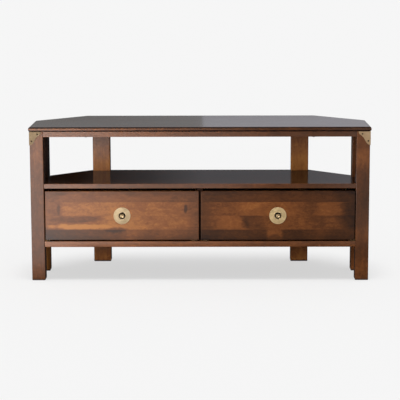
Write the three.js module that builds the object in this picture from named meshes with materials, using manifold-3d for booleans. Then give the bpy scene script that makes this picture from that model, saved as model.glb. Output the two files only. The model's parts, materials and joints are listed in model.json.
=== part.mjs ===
// Corner television cabinet: six square legs carry a top with a rounded edge, an open media bay
// and a shelf, and under the shelf a closed case with two drawers. The back corners are cut at
// 45 degrees, so the cabinet stands across the corner of a room, against both walls.
//
// Millimetres. x runs to the right as seen from the front, y runs from the front edge of the top
// towards the wall, and z runs up from the floor. What comes in a left and a right hand is modelled
// once, for the right, and its group is mirrored for the left.
import * as THREE from "three";
import { mergeVertices } from "three/addons/utils/BufferGeometryUtils.js";
import Module from "manifold-3d";

const wasm = await Module();
wasm.setup();

// Overall sizes
const WIDTH = 1200; // across the top
const DEPTH = 395; // of the top, front edge to back edge
const HEIGHT = 547; // floor to top surface
const SIDE_LENGTH = 220; // of the top's straight side, in front of the corner cut

// Fits
const JOINT_GAP = 0.3; // glue line between fixed pieces
const SLIDE_GAP = 0.3; // between a drawer and what it runs on or stops against
const CUT_OVERRUN = 3; // how far a cutter passes the face that it opens

// Top
const TOP_THICKNESS = 16;
const TOP_OVERHANG = 4; // past the faces of the legs
const BULLNOSE_SHARE = 0.44; // radius of the rounded edge, of the top's thickness
const BULLNOSE_STEPS = 6;

// Screws that hold the top, up through the front and back aprons
const TOP_SCREW_RADIUS = 2;
const TOP_SCREW_HEAD_RADIUS = 4;
const TOP_SCREW_HEAD_HEIGHT = 2.2;
const TOP_SCREW_GRIP = 10; // length inside the top
const TOP_SCREW_INSET = 150; // from the leg that carries the apron

// Legs
const LEG_SECTION = 47;
const REAR_LEG_WIDTH = 64;
const REAR_LEG_INSET = 23; // from the top's rear corner, along its back edge
const LEG_EASING = 2.5; // radius of the long edges
const FOOT_EASING = 2; // radius round the end grain
const EASING_STEPS = 3;

// Rails
const APRON_HEIGHT = 19;
const RAIL_THICKNESS = 20;
const TENON_LENGTH = 12;
const TENON_THICKNESS = 8;
const TENON_SHOULDER = 3; // of rail, above and below each tenon

// Boards and case
const SHELF_HEIGHT = 346; // floor to the shelf's top surface
const SHELF_THICKNESS = 17;
const BOARD_SETBACK = 2; // of a board's edge behind the legs' faces
const BOARD_EASING = 1.5;
const CASE_CLEARANCE = 120; // floor to the underside of the case
const BOTTOM_RAIL_HEIGHT = 20.5;
const BOTTOM_THICKNESS = 12;
const PANEL_THICKNESS = 10;
const PANEL_TONGUE = 8; // of a panel's edge, inside the groove of a leg
const DIVIDER_THICKNESS = 18;

// Drawers
const FRONT_THICKNESS = 20;
const FRONT_EASING = 1.6;
const FRONT_MIDDLE_GAP = 6.7; // between the two drawer fronts
const FRONT_SIDE_GAP = 3; // drawer front to front leg
const FRONT_TOP_GAP = 9; // drawer front to shelf
const FRONT_BOTTOM_GAP = 4.5; // drawer front to bottom rail
const BOX_SIDE_GAP = 6; // drawer side to leg, and to divider
const BOX_REAR_GAP = 10; // drawer back to diagonal panel, measured along y
const BOX_LIFT = 4; // underside of the box over the lower edge of its front
const BOX_TOP_DROP = 18; // of the sides' upper edges under the upper edge of the front
const BOX_WALL = 12;
const BOX_BACK_DROP = 6; // of the back's upper edge under the sides
const BOX_BOTTOM_THICKNESS = 6;
const BOX_BOTTOM_HEIGHT = 10; // underside of the box to underside of its bottom
const BOX_GROOVE = 6; // depth of the groove that holds the bottom
const BOX_HOUSING = 8; // depth of the housing that holds a side in the front
const RUNNER_WIDTH = 20;
const LIP_HEIGHT = 10; // of a runner's lip, over the underside of the drawer

// Pulls
const PLATE_RADIUS = 30;
const PLATE_SHEET = 1.2; // thickness of the brass
const PLATE_BEAD = 2.4; // width of the raised bead at the rim, and of the lip round the cup
const BEAD_RISE = 0.9; // of bead and lip over the plate's field
const CUP_RADIUS = 12; // inside, at its lip
const CUP_FLOOR_RADIUS = 9.5;
const CUP_DEPTH = 6; // from the face of the drawer front to the cup's floor
const BALL_RADIUS = 8.8;
const BALL_STANDOFF = 6; // from the face of the drawer front to the ball's centre
const KNOB_BASE_RADIUS = 5.5;
const KNOB_BASE_HEIGHT = 1.2;
const NECK_RADIUS = 4.2;
const SCREW_RADIUS = 2;
const SCREW_HEAD_RADIUS = 4.5;
const SCREW_HEAD_HEIGHT = 2.6;
const SCREW_GRIP = 8; // length of thread inside the knob
const ROUND_STEPS = 32;
const SCREW_STEPS = 12;
const BALL_STEPS = 9;

// Brass corners
const WING_WIDTH = 42; // from the leg's outer edge, along the top
const WING_HEIGHT = 48; // down the leg's outer edge
const WING_THICKNESS = 1.2;
const WING_CURVE_STEPS = 7;
const NAIL_LENGTH = 7;
const NAIL_RADIUS = 0.8;
const NAIL_HEAD_RADIUS = 2.6;
const NAIL_HEAD_HEIGHT = 1.2;
const NAIL_STEPS = 10;
const NAIL_DOME_STEPS = 3;
// Places on a wing are shares of its width, from the leg's outer edge, and of its height, down from
// its upper edge. Each curve of the ogee edge has two control points and an end.
const WING_FOOT_SHARES = [0.12, 0.98];
const WING_CURVE_SHARES = [
  [[0.4, 0.92], [0.46, 0.6], [0.62, 0.42]],
  [[0.8, 0.24], [1, 0.25], [1, 0]],
];
const FRONT_NAIL_SHARES = { upper: [0.69, 0.18], lower: [0.19, 0.69] };
const SIDE_NAIL_SHARES = { upper: [0.6, 0.24], lower: [0.25, 0.54] };

// Planes that the pieces share
const CORNER_CUT = DEPTH - SIDE_LENGTH; // along x and along y alike
const HALF_WIDTH = WIDTH / 2;
const HALF_BACK = HALF_WIDTH - CORNER_CUT;
const FACE = TOP_OVERHANG; // front faces of legs, rails and drawers
const LEG_OUTER = HALF_WIDTH - TOP_OVERHANG;
const LEG_INNER = LEG_OUTER - LEG_SECTION;
const FRONT_LEG_BACK = FACE + LEG_SECTION;
const SIDE_LEG_BACK = SIDE_LENGTH - TOP_OVERHANG;
const SIDE_LEG_FRONT = SIDE_LEG_BACK - LEG_SECTION;
const REAR_LEG_BACK = DEPTH - TOP_OVERHANG;
const REAR_LEG_FRONT = REAR_LEG_BACK - LEG_SECTION;
const REAR_LEG_OUTER = HALF_BACK - REAR_LEG_INSET;
const REAR_LEG_INNER = REAR_LEG_OUTER - REAR_LEG_WIDTH;
const RAIL_BACK = FACE + RAIL_THICKNESS;
const UNDER_TOP = HEIGHT - TOP_THICKNESS;
const APRON_BOTTOM = UNDER_TOP - APRON_HEIGHT;
const SHELF_UNDERSIDE = SHELF_HEIGHT - SHELF_THICKNESS;
const CASE_FLOOR = CASE_CLEARANCE + BOTTOM_THICKNESS;

// The diagonal edges lie on lines x + y = a constant. The boards' own line starts from the inner
// back corner of the side leg, and their back edge is level with its end at the rear leg.
const BOARD_LINE = LEG_INNER + SIDE_LEG_BACK;
const BOARD_BACK = BOARD_LINE - REAR_LEG_OUTER;
const BOARD_SIDE = LEG_OUTER - BOARD_SETBACK;
const WALL_LINE = BOARD_LINE - BOARD_SETBACK * Math.SQRT2;
const WALL_INNER_LINE = WALL_LINE - PANEL_THICKNESS * Math.SQRT2;

// Drawer places
const FRONT_BOTTOM = CASE_CLEARANCE + BOTTOM_RAIL_HEIGHT + FRONT_BOTTOM_GAP;
const FRONT_TOP = SHELF_UNDERSIDE - FRONT_TOP_GAP;
const FRONT_INNER = FRONT_MIDDLE_GAP / 2;
const FRONT_OUTER = LEG_INNER - FRONT_SIDE_GAP;
const FRONT_BACK = FACE + FRONT_THICKNESS;
const STOP_FACE = Math.max(RAIL_BACK + JOINT_GAP, FRONT_BACK + SLIDE_GAP); // of divider and runners
const BOX_OUTER = LEG_INNER - BOX_SIDE_GAP;
const BOX_INNER = DIVIDER_THICKNESS / 2 + BOX_SIDE_GAP;
const BOX_REAR = WALL_INNER_LINE - BOX_OUTER - BOX_REAR_GAP;
const BOX_UNDERSIDE = FRONT_BOTTOM + BOX_LIFT;
const BOX_TOP = FRONT_TOP - BOX_TOP_DROP;
const BOX_FLOOR = BOX_UNDERSIDE + BOX_BOTTOM_HEIGHT;
const BOX_FLOOR_TOP = BOX_FLOOR + BOX_BOTTOM_THICKNESS;
const PULL_X = (FRONT_INNER + FRONT_OUTER) / 2;
const PULL_Z = (FRONT_BOTTOM + FRONT_TOP) / 2;
const CUP_FLOOR = -CUP_DEPTH; // heights of the pull run out of the drawer, from its face
const KNOB_SEAT = CUP_FLOOR + JOINT_GAP;
const KNOB_TOP = BALL_STANDOFF + BALL_RADIUS;
const KNOB_REACH = KNOB_TOP - TOP_OVERHANG; // in front of the top's front edge
const CUP_BORE_RADIUS = CUP_RADIUS + PLATE_SHEET + JOINT_GAP;
const CUP_BORE_DEPTH = CUP_DEPTH + PLATE_SHEET + JOINT_GAP;

const FINISHES = {
  stained: { color: 0x5a3a2a, roughness: 0.4, metalness: 0 },
  front: { color: 0x6a4630, roughness: 0.4, metalness: 0 },
  plain: { color: 0x8b6b4c, roughness: 0.7, metalness: 0 },
  brass: { color: 0xb4945c, roughness: 0.35, metalness: 0.9 },
  steel: { color: 0x9a9a96, roughness: 0.4, metalness: 0.9 },
};

// Adds a placed mesh to a group under its own name and with its own material.
function add(group, name, mesh, finish) {
  mesh.name = name;
  mesh.material = new THREE.MeshStandardMaterial(FINISHES[finish]);
  group.add(mesh);
  return mesh;
}

// A closed geometry as a solid that can be joined and cut.
function solidOf(geometry) {
  const bare = geometry.clone();
  bare.deleteAttribute("normal");
  bare.deleteAttribute("uv");
  const merged = mergeVertices(bare);
  const triVerts = new Uint32Array(merged.index.array);
  const vertProperties = merged.attributes.position.array;
  return new wasm.Manifold(new wasm.Mesh({ numProp: 3, vertProperties, triVerts }));
}

function geometryOf(solid) {
  const { vertProperties, triVerts } = solid.getMesh();
  const geometry = new THREE.BufferGeometry();
  geometry.setAttribute("position", new THREE.BufferAttribute(vertProperties, 3));
  geometry.setIndex(new THREE.BufferAttribute(triVerts, 1));
  geometry.computeVertexNormals();
  return geometry;
}

// The solid of one placed mesh, seen from the frame of another one in the same group.
function solidIn(target, mesh) {
  target.updateMatrix();
  mesh.updateMatrix();
  const toTarget = target.matrix.clone().invert().multiply(mesh.matrix);
  return solidOf(mesh.geometry.clone().applyMatrix4(toTarget));
}

function cut(mesh, tools) {
  let solid = solidOf(mesh.geometry);
  for (const tool of tools) solid = solid.subtract(solidIn(mesh, tool));
  mesh.geometry = geometryOf(solid);
  return mesh;
}

function join(mesh, parts) {
  let solid = solidOf(mesh.geometry);
  for (const part of parts) solid = solid.add(solidIn(mesh, part));
  mesh.geometry = geometryOf(solid);
  return mesh;
}

// A block between two planes along each axis, which can be grown by an amount on every face.
function block([x0, x1], [y0, y1], [z0, z1], grown = 0) {
  const size = [x1 - x0, y1 - y0, z1 - z0].map((length) => length + 2 * grown);
  const mesh = new THREE.Mesh(new THREE.BoxGeometry(...size));
  mesh.position.set((x0 + x1) / 2, (y0 + y1) / 2, (z0 + z1) / 2);
  return mesh;
}

// The pocket that takes a block, with the glue line all round it.
function pocketFor(mesh) {
  const { width, height, depth } = mesh.geometry.parameters;
  const size = [width, height, depth].map((length) => length + 2 * JOINT_GAP);
  const pocket = new THREE.Mesh(new THREE.BoxGeometry(...size));
  pocket.position.copy(mesh.position);
  return pocket;
}

function planOf(points) {
  return new THREE.Shape(points.map(([x, y]) => new THREE.Vector2(x, y)));
}

// A plan raised from one height to another, with its upper and lower edges rounded.
function prism(plan, bottom, top, easing = 0, steps = EASING_STEPS) {
  const geometry = new THREE.ExtrudeGeometry(plan, {
    depth: top - bottom - 2 * easing,
    curveSegments: EASING_STEPS,
    bevelEnabled: easing > 0,
    bevelThickness: easing,
    bevelSize: easing,
    bevelOffset: -easing,
    bevelSegments: steps,
  });
  const mesh = new THREE.Mesh(geometry);
  mesh.position.z = bottom + easing;
  return mesh;
}

// The right half of an outline, from front to back, with its mirror image.
function mirrored(points) {
  const left = points.map(([x, y]) => [-x, y]).reverse();
  return planOf([...points, ...left]);
}

function cylinder(radius, length, steps) {
  return new THREE.Mesh(new THREE.CylinderGeometry(radius, radius, length, steps));
}

// A turned piece on the y axis, from its profile of radius and height, with the axis on both ends.
function turned(profile, steps) {
  const points = profile.map(([radius, height]) => new THREE.Vector2(radius, height));
  return new THREE.Mesh(new THREE.LatheGeometry(points, steps));
}

// Points of a round profile about a centre on the axis, from one angle above the equator to another.
function arcProfile(radius, centre, from, to, steps) {
  return Array.from({ length: steps + 1 }, (_, i) => {
    const angle = from + ((to - from) * i) / steps;
    return [radius * Math.cos(angle), centre + radius * Math.sin(angle)];
  });
}

// Top

function topPanel() {
  const plan = mirrored([
    [HALF_WIDTH, 0],
    [HALF_WIDTH, SIDE_LENGTH],
    [HALF_BACK, DEPTH],
  ]);
  const board = prism(plan, UNDER_TOP, HEIGHT, TOP_THICKNESS * BULLNOSE_SHARE, BULLNOSE_STEPS);
  return cut(board, [...topScrewHoles("front"), ...topScrewHoles("back")]);
}

// Rails. A rail runs from leg to leg and has a stub tenon at each end.

function tenonAlongX(reach, [y0, y1], [z0, z1]) {
  const middle = (y0 + y1) / 2;
  const half = TENON_THICKNESS / 2;
  const across = [middle - half, middle + half];
  return block([-reach, reach], across, [z0 + TENON_SHOULDER, z1 - TENON_SHOULDER]);
}

const frontApronSpan = [
  [FACE, RAIL_BACK],
  [APRON_BOTTOM, UNDER_TOP - JOINT_GAP],
];
const bottomRailSpan = [
  [FACE, RAIL_BACK],
  [CASE_CLEARANCE, CASE_CLEARANCE + BOTTOM_RAIL_HEIGHT],
];
const backApronSpan = [
  [REAR_LEG_BACK - RAIL_THICKNESS, REAR_LEG_BACK],
  [APRON_BOTTOM, UNDER_TOP - JOINT_GAP],
];
const frontApronTenon = tenonAlongX(LEG_INNER + TENON_LENGTH, ...frontApronSpan);
const bottomRailTenon = tenonAlongX(LEG_INNER + TENON_LENGTH, ...bottomRailSpan);
const backApronTenon = tenonAlongX(REAR_LEG_INNER + TENON_LENGTH, ...backApronSpan);

function railAlongX(legFace, span, tenon, holes = []) {
  const half = legFace - JOINT_GAP;
  return cut(join(block([-half, half], ...span), [tenon]), holes);
}

// The side apron lies between the front and the side leg, with its tenons along y.
const sideApronTenon = block(
  [
    LEG_OUTER - (RAIL_THICKNESS + TENON_THICKNESS) / 2,
    LEG_OUTER - (RAIL_THICKNESS - TENON_THICKNESS) / 2,
  ],
  [FRONT_LEG_BACK - TENON_LENGTH, SIDE_LEG_FRONT + TENON_LENGTH],
  [APRON_BOTTOM + TENON_SHOULDER, UNDER_TOP - JOINT_GAP - TENON_SHOULDER],
);

function sideApron() {
  const body = block(
    [LEG_OUTER - RAIL_THICKNESS, LEG_OUTER],
    [FRONT_LEG_BACK + JOINT_GAP, SIDE_LEG_FRONT - JOINT_GAP],
    [APRON_BOTTOM, UNDER_TOP - JOINT_GAP],
  );
  return join(body, [sideApronTenon]);
}

// A diagonal piece fits between the inner face of the side leg and the outer face of the rear leg.
function diagonalPlan(thickness) {
  const inner = WALL_LINE - thickness * Math.SQRT2;
  const near = LEG_INNER - JOINT_GAP;
  const far = REAR_LEG_OUTER + JOINT_GAP;
  return planOf([
    [near, inner - near],
    [near, WALL_LINE - near],
    [far, WALL_LINE - far],
    [far, inner - far],
  ]);
}

// Screws through the aprons. Each place is on the apron's underside, on the right.

const topScrewPlaces = {
  front: [LEG_INNER - TOP_SCREW_INSET, FACE + RAIL_THICKNESS / 2],
  back: [REAR_LEG_INNER - TOP_SCREW_INSET, REAR_LEG_BACK - RAIL_THICKNESS / 2],
};

function topScrewHoles(end) {
  const [x, y] = topScrewPlaces[end];
  return [-x, x].map((across) => {
    const reach = APRON_HEIGHT + TOP_SCREW_GRIP + JOINT_GAP;
    const hole = cylinder(TOP_SCREW_RADIUS + JOINT_GAP, 2 * reach, SCREW_STEPS);
    hole.rotation.x = Math.PI / 2;
    hole.position.set(across, y, APRON_BOTTOM);
    return hole;
  });
}

function topScrew(end) {
  const [x, y] = topScrewPlaces[end];
  const profile = pinProfile(
    TOP_SCREW_RADIUS,
    APRON_HEIGHT + TOP_SCREW_GRIP,
    TOP_SCREW_HEAD_RADIUS,
    TOP_SCREW_HEAD_HEIGHT,
    NAIL_DOME_STEPS,
  );
  const mesh = turned(profile, SCREW_STEPS);
  mesh.rotation.x = -Math.PI / 2;
  mesh.position.set(x, y, APRON_BOTTOM);
  return mesh;
}

// Boards. The shelf and the case bottom have one outline, notched round all six legs.

function boardPlan(frontEdge) {
  const inside = LEG_INNER - JOINT_GAP;
  const besideRear = REAR_LEG_OUTER + JOINT_GAP;
  const betweenRear = REAR_LEG_INNER - JOINT_GAP;
  return mirrored([
    [inside, frontEdge],
    [inside, FRONT_LEG_BACK + JOINT_GAP],
    [BOARD_SIDE, FRONT_LEG_BACK + JOINT_GAP],
    [BOARD_SIDE, SIDE_LEG_FRONT - JOINT_GAP],
    [inside, SIDE_LEG_FRONT - JOINT_GAP],
    [inside, BOARD_LINE - inside],
    [besideRear, BOARD_LINE - besideRear],
    [besideRear, REAR_LEG_FRONT - JOINT_GAP],
    [betweenRear, REAR_LEG_FRONT - JOINT_GAP],
    [betweenRear, BOARD_BACK],
  ]);
}

function shelf() {
  return prism(boardPlan(FACE + BOARD_SETBACK), SHELF_UNDERSIDE, SHELF_HEIGHT, BOARD_EASING);
}

function bottomPanel() {
  return prism(boardPlan(RAIL_BACK + JOINT_GAP), CASE_CLEARANCE, CASE_FLOOR);
}

// Walls of the case stand between the bottom panel and the shelf.

const wallHeight = [CASE_FLOOR + JOINT_GAP, SHELF_UNDERSIDE - JOINT_GAP];

const backPanelBlock = block(
  [-REAR_LEG_INNER - PANEL_TONGUE, REAR_LEG_INNER + PANEL_TONGUE],
  [BOARD_BACK - BOARD_SETBACK - PANEL_THICKNESS, BOARD_BACK - BOARD_SETBACK],
  wallHeight,
);
const sidePanelBlock = block(
  [BOARD_SIDE - PANEL_THICKNESS, BOARD_SIDE],
  [FRONT_LEG_BACK - PANEL_TONGUE, SIDE_LEG_FRONT + PANEL_TONGUE],
  wallHeight,
);

function centreDivider() {
  const half = DIVIDER_THICKNESS / 2;
  const rear = BOARD_BACK - BOARD_SETBACK - PANEL_THICKNESS - JOINT_GAP;
  return block([-half, half], [STOP_FACE, rear], wallHeight);
}

// Legs

function legPlan(width, depth) {
  const x = width / 2;
  const y = depth / 2;
  const r = LEG_EASING;
  const plan = new THREE.Shape();
  plan.moveTo(x, r - y);
  plan.absarc(x - r, y - r, r, 0, Math.PI / 2);
  plan.absarc(r - x, y - r, r, Math.PI / 2, Math.PI);
  plan.absarc(r - x, r - y, r, Math.PI, 1.5 * Math.PI);
  plan.absarc(x - r, r - y, r, 1.5 * Math.PI, 2 * Math.PI);
  return plan;
}

function leg(outer, back, width) {
  const plan = legPlan(width, LEG_SECTION);
  const mesh = prism(plan, 0, UNDER_TOP - JOINT_GAP, FOOT_EASING, EASING_STEPS);
  mesh.position.x = outer - width / 2;
  mesh.position.y = back - LEG_SECTION / 2;
  return mesh;
}

// Brass corners. One wing lies on the front face of the front leg and one on its outer side.

function wingPlan() {
  const at = ([across, down]) => [-across * WING_WIDTH, -down * WING_HEIGHT];
  const plan = new THREE.Shape();
  plan.moveTo(0, 0);
  plan.lineTo(0, -WING_HEIGHT);
  plan.lineTo(...at(WING_FOOT_SHARES));
  for (const curve of WING_CURVE_SHARES) plan.bezierCurveTo(...curve.flatMap(at));
  return plan;
}

// Outer faces of the wings, and the height of their upper edge.
const WING_FRONT = FACE - JOINT_GAP - WING_THICKNESS;
const WING_SIDE = LEG_OUTER + JOINT_GAP + WING_THICKNESS;
const WING_TOP = UNDER_TOP - JOINT_GAP;

function wing() {
  const geometry = new THREE.ExtrudeGeometry(wingPlan(), {
    depth: WING_THICKNESS,
    curveSegments: WING_CURVE_STEPS,
    bevelEnabled: false,
  });
  return new THREE.Mesh(geometry);
}

function cornerBracket(holes) {
  const front = wing();
  front.rotation.x = Math.PI / 2;
  front.position.set(WING_SIDE, FACE - JOINT_GAP, WING_TOP);
  const side = wing();
  side.rotation.set(Math.PI / 2, 0, -Math.PI / 2, "ZYX");
  side.position.set(WING_SIDE, WING_FRONT, WING_TOP);
  return cut(join(front, [side]), holes);
}

// Each nail has its place on a wing, and the turn that points its head out of that wing.
function nailPlaces() {
  const places = [];
  for (const [end, [across, down]] of Object.entries(FRONT_NAIL_SHARES)) {
    const x = WING_SIDE - across * WING_WIDTH;
    const z = WING_TOP - down * WING_HEIGHT;
    places.push({ name: "front_" + end, place: [x, WING_FRONT, z], turn: [Math.PI, 0, 0] });
  }
  for (const [end, [across, down]] of Object.entries(SIDE_NAIL_SHARES)) {
    const y = WING_FRONT + across * WING_WIDTH;
    const z = WING_TOP - down * WING_HEIGHT;
    places.push({ name: "side_" + end, place: [WING_SIDE, y, z], turn: [0, 0, -Math.PI / 2] });
  }
  return places;
}

// Profile of a pin under a domed head, whose underside is at the given height over the seat.
function pinProfile(pin, length, head, headHeight, domeSteps) {
  const dome = (head * head + headHeight * headHeight) / (2 * headHeight);
  const rise = Math.acos(head / dome);
  const cap = arcProfile(dome, JOINT_GAP + headHeight - dome, rise, Math.PI / 2, domeSteps);
  const shank = [
    [0, -length],
    [pin, -length],
    [pin, JOINT_GAP],
  ];
  return [...shank, ...cap.slice(0, -1), [0, JOINT_GAP + headHeight]];
}

function nail({ place, turn }) {
  const profile = pinProfile(
    NAIL_RADIUS,
    NAIL_LENGTH,
    NAIL_HEAD_RADIUS,
    NAIL_HEAD_HEIGHT,
    NAIL_DOME_STEPS,
  );
  const mesh = turned(profile, NAIL_STEPS);
  mesh.position.set(...place);
  mesh.rotation.set(...turn);
  return mesh;
}

function nailHole({ place, turn }) {
  const mesh = cylinder(NAIL_RADIUS + JOINT_GAP, 2 * (NAIL_LENGTH + JOINT_GAP), NAIL_STEPS);
  mesh.position.set(...place);
  mesh.rotation.set(...turn);
  return mesh;
}

// Drawers

const boxSides = {
  outer: [BOX_OUTER - BOX_WALL, BOX_OUTER],
  inner: [BOX_INNER, BOX_INNER + BOX_WALL],
};
const boxSideBlocks = Object.fromEntries(
  Object.entries(boxSides).map(([side, across]) => [
    side,
    block(across, [FRONT_BACK - BOX_HOUSING, BOX_REAR], [BOX_UNDERSIDE, BOX_TOP]),
  ]),
);
const boxBottomBlock = block(
  [BOX_INNER + BOX_WALL - BOX_GROOVE, BOX_OUTER - BOX_WALL + BOX_GROOVE],
  [FRONT_BACK - BOX_GROOVE, BOX_REAR],
  [BOX_FLOOR, BOX_FLOOR_TOP],
);

function drawerFront() {
  const x = (FRONT_OUTER - FRONT_INNER) / 2;
  const z = (FRONT_TOP - FRONT_BOTTOM) / 2;
  const plan = planOf([
    [-x, -z],
    [x, -z],
    [x, z],
    [-x, z],
  ]);
  const mesh = prism(plan, 0, FRONT_THICKNESS, FRONT_EASING);
  mesh.rotation.x = Math.PI / 2;
  mesh.position.set(PULL_X, FRONT_BACK - FRONT_EASING, PULL_Z);
  const hole = cylinder(SCREW_RADIUS + JOINT_GAP, 2 * (FRONT_THICKNESS + CUT_OVERRUN), SCREW_STEPS);
  hole.position.set(PULL_X, FACE, PULL_Z);
  const cupBore = cylinder(CUP_BORE_RADIUS, 2 * CUP_BORE_DEPTH, ROUND_STEPS);
  cupBore.position.set(PULL_X, FACE, PULL_Z);
  const housings = Object.values(boxSideBlocks).map(pocketFor);
  return cut(mesh, [...housings, pocketFor(boxBottomBlock), hole, cupBore]);
}

function drawerSide(side) {
  const [x0, x1] = boxSides[side];
  const mesh = block([x0, x1], [FRONT_BACK - BOX_HOUSING, BOX_REAR], [BOX_UNDERSIDE, BOX_TOP]);
  const groove = block(
    [BOX_INNER + BOX_WALL - BOX_GROOVE, BOX_OUTER - BOX_WALL + BOX_GROOVE],
    [FRONT_BACK - BOX_HOUSING - CUT_OVERRUN, BOX_REAR + CUT_OVERRUN],
    [BOX_FLOOR, BOX_FLOOR_TOP],
    JOINT_GAP,
  );
  return cut(mesh, [groove]);
}

function drawerBack() {
  return block(
    [BOX_INNER + BOX_WALL + JOINT_GAP, BOX_OUTER - BOX_WALL - JOINT_GAP],
    [BOX_REAR - BOX_WALL, BOX_REAR],
    [BOX_FLOOR_TOP + JOINT_GAP, BOX_TOP - BOX_BACK_DROP],
  );
}

// A runner lies on the bottom panel, against a leg or the divider. A rebate along it makes a ledge
// that carries one side of a drawer and a lip that guides it.
function runner(fixedFace, boxFace) {
  const inward = Math.sign(boxFace - fixedFace);
  const along = [STOP_FACE, BOX_REAR];
  const span = (from, to) => [Math.min(from, to), Math.max(from, to)];
  const back = fixedFace + inward * JOINT_GAP;
  const foot = CASE_FLOOR + JOINT_GAP;
  const ledge = block(span(back, back + inward * RUNNER_WIDTH), along, [foot, BOX_UNDERSIDE - SLIDE_GAP]);
  const lip = block(span(back, boxFace - inward * SLIDE_GAP), along, [foot, BOX_UNDERSIDE + LIP_HEIGHT]);
  return join(ledge, [lip]);
}

// Pulls. A round plate is pressed from sheet brass. The cup in its middle is let into the drawer
// front, and a ball knob stands in the cup.

function knobPlate() {
  const hole = SCREW_RADIUS + JOINT_GAP;
  const field = JOINT_GAP + PLATE_SHEET;
  const crest = field + BEAD_RISE;
  const lipCrest = CUP_RADIUS + PLATE_BEAD / 2;
  const beadCrest = PLATE_RADIUS - PLATE_BEAD / 2;
  return turned(
    [
      [hole, CUP_FLOOR - PLATE_SHEET],
      [CUP_FLOOR_RADIUS, CUP_FLOOR - PLATE_SHEET],
      [CUP_RADIUS + PLATE_SHEET, JOINT_GAP],
      [PLATE_RADIUS, JOINT_GAP],
      [PLATE_RADIUS, field],
      [beadCrest, crest],
      [PLATE_RADIUS - PLATE_BEAD, field],
      [CUP_RADIUS + PLATE_BEAD, field],
      [lipCrest, crest],
      [CUP_RADIUS, field],
      [CUP_FLOOR_RADIUS, CUP_FLOOR],
      [hole, CUP_FLOOR],
      [hole, CUP_FLOOR - PLATE_SHEET],
    ],
    ROUND_STEPS,
  );
}

function knob() {
  const bore = SCREW_RADIUS + JOINT_GAP;
  const boreEnd = KNOB_SEAT + SCREW_GRIP + JOINT_GAP;
  const start = -Math.acos(NECK_RADIUS / BALL_RADIUS);
  const ball = arcProfile(BALL_RADIUS, BALL_STANDOFF, start, Math.PI / 2, BALL_STEPS);
  return turned(
    [
      [0, boreEnd],
      [bore, boreEnd],
      [bore, KNOB_SEAT],
      [KNOB_BASE_RADIUS, KNOB_SEAT],
      [KNOB_BASE_RADIUS, KNOB_SEAT + KNOB_BASE_HEIGHT / 2],
      [NECK_RADIUS, KNOB_SEAT + KNOB_BASE_HEIGHT],
      ...ball.slice(0, -1),
      [0, KNOB_TOP],
    ],
    ROUND_STEPS,
  );
}

// The screw's head sits on the inner face of the drawer front, and its thread ends in the knob.
function knobScrew() {
  const profile = pinProfile(
    SCREW_RADIUS,
    FRONT_THICKNESS + KNOB_SEAT + SCREW_GRIP,
    SCREW_HEAD_RADIUS,
    SCREW_HEAD_HEIGHT,
    NAIL_DOME_STEPS,
  );
  const mesh = turned(profile, SCREW_STEPS);
  mesh.rotation.x = Math.PI;
  mesh.position.y = -FRONT_THICKNESS;
  return mesh;
}

function addPull(group, hand) {
  const pull = new THREE.Group();
  pull.position.set(PULL_X, FACE, PULL_Z);
  pull.rotation.x = Math.PI; // the turned pieces' axis points out of the drawer
  add(pull, hand + "_knob_plate", knobPlate(), "brass");
  add(pull, hand + "_knob", knob(), "brass");
  add(pull, hand + "_knob_screw", knobScrew(), "steel");
  group.add(pull);
}

function addDrawer(group, hand) {
  const drawer = new THREE.Group();
  add(drawer, hand + "_drawer_front", drawerFront(), "front");
  add(drawer, hand + "_drawer_outer_side", drawerSide("outer"), "plain");
  add(drawer, hand + "_drawer_inner_side", drawerSide("inner"), "plain");
  add(drawer, hand + "_drawer_back", drawerBack(), "plain");
  add(drawer, hand + "_drawer_bottom", boxBottomBlock.clone(), "plain");
  addPull(drawer, hand);
  group.add(drawer);
}

// Everything that comes once for each hand.
function addHand(cabinet, hand) {
  const side = new THREE.Group();
  side.scale.x = hand === "left" ? -1 : 1;
  const nails = nailPlaces();
  const nailHoles = nails.map(nailHole);

  const frontLeg = leg(LEG_OUTER, FRONT_LEG_BACK, LEG_SECTION);
  const frontInserts = [frontApronTenon, bottomRailTenon, sideApronTenon, sidePanelBlock];
  cut(frontLeg, [...frontInserts.map(pocketFor), ...nailHoles]);
  add(side, hand + "_front_leg", frontLeg, "stained");
  const sideLeg = leg(LEG_OUTER, SIDE_LEG_BACK, LEG_SECTION);
  cut(sideLeg, [sideApronTenon, sidePanelBlock].map(pocketFor));
  add(side, hand + "_side_leg", sideLeg, "stained");
  const rearLeg = leg(REAR_LEG_OUTER, REAR_LEG_BACK, REAR_LEG_WIDTH);
  cut(rearLeg, [backApronTenon, backPanelBlock].map(pocketFor));
  add(side, hand + "_rear_leg", rearLeg, "stained");

  add(side, hand + "_side_apron", sideApron(), "stained");
  const diagonalApron = prism(diagonalPlan(RAIL_THICKNESS), APRON_BOTTOM, UNDER_TOP - JOINT_GAP);
  add(side, hand + "_diagonal_apron", diagonalApron, "stained");
  add(side, hand + "_side_panel", sidePanelBlock.clone(), "stained");
  const diagonalPanel = prism(diagonalPlan(PANEL_THICKNESS), ...wallHeight);
  add(side, hand + "_diagonal_panel", diagonalPanel, "stained");

  add(side, hand + "_outer_runner", runner(LEG_INNER, BOX_OUTER), "plain");
  add(side, hand + "_inner_runner", runner(DIVIDER_THICKNESS / 2, BOX_INNER), "plain");

  add(side, hand + "_corner_bracket", cornerBracket(nailHoles), "brass");
  for (const place of nails) add(side, hand + "_nail_" + place.name, nail(place), "brass");
  for (const end of ["front", "back"]) add(side, `${hand}_${end}_top_screw`, topScrew(end), "steel");
  addDrawer(side, hand);
  cabinet.add(side);
}

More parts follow.
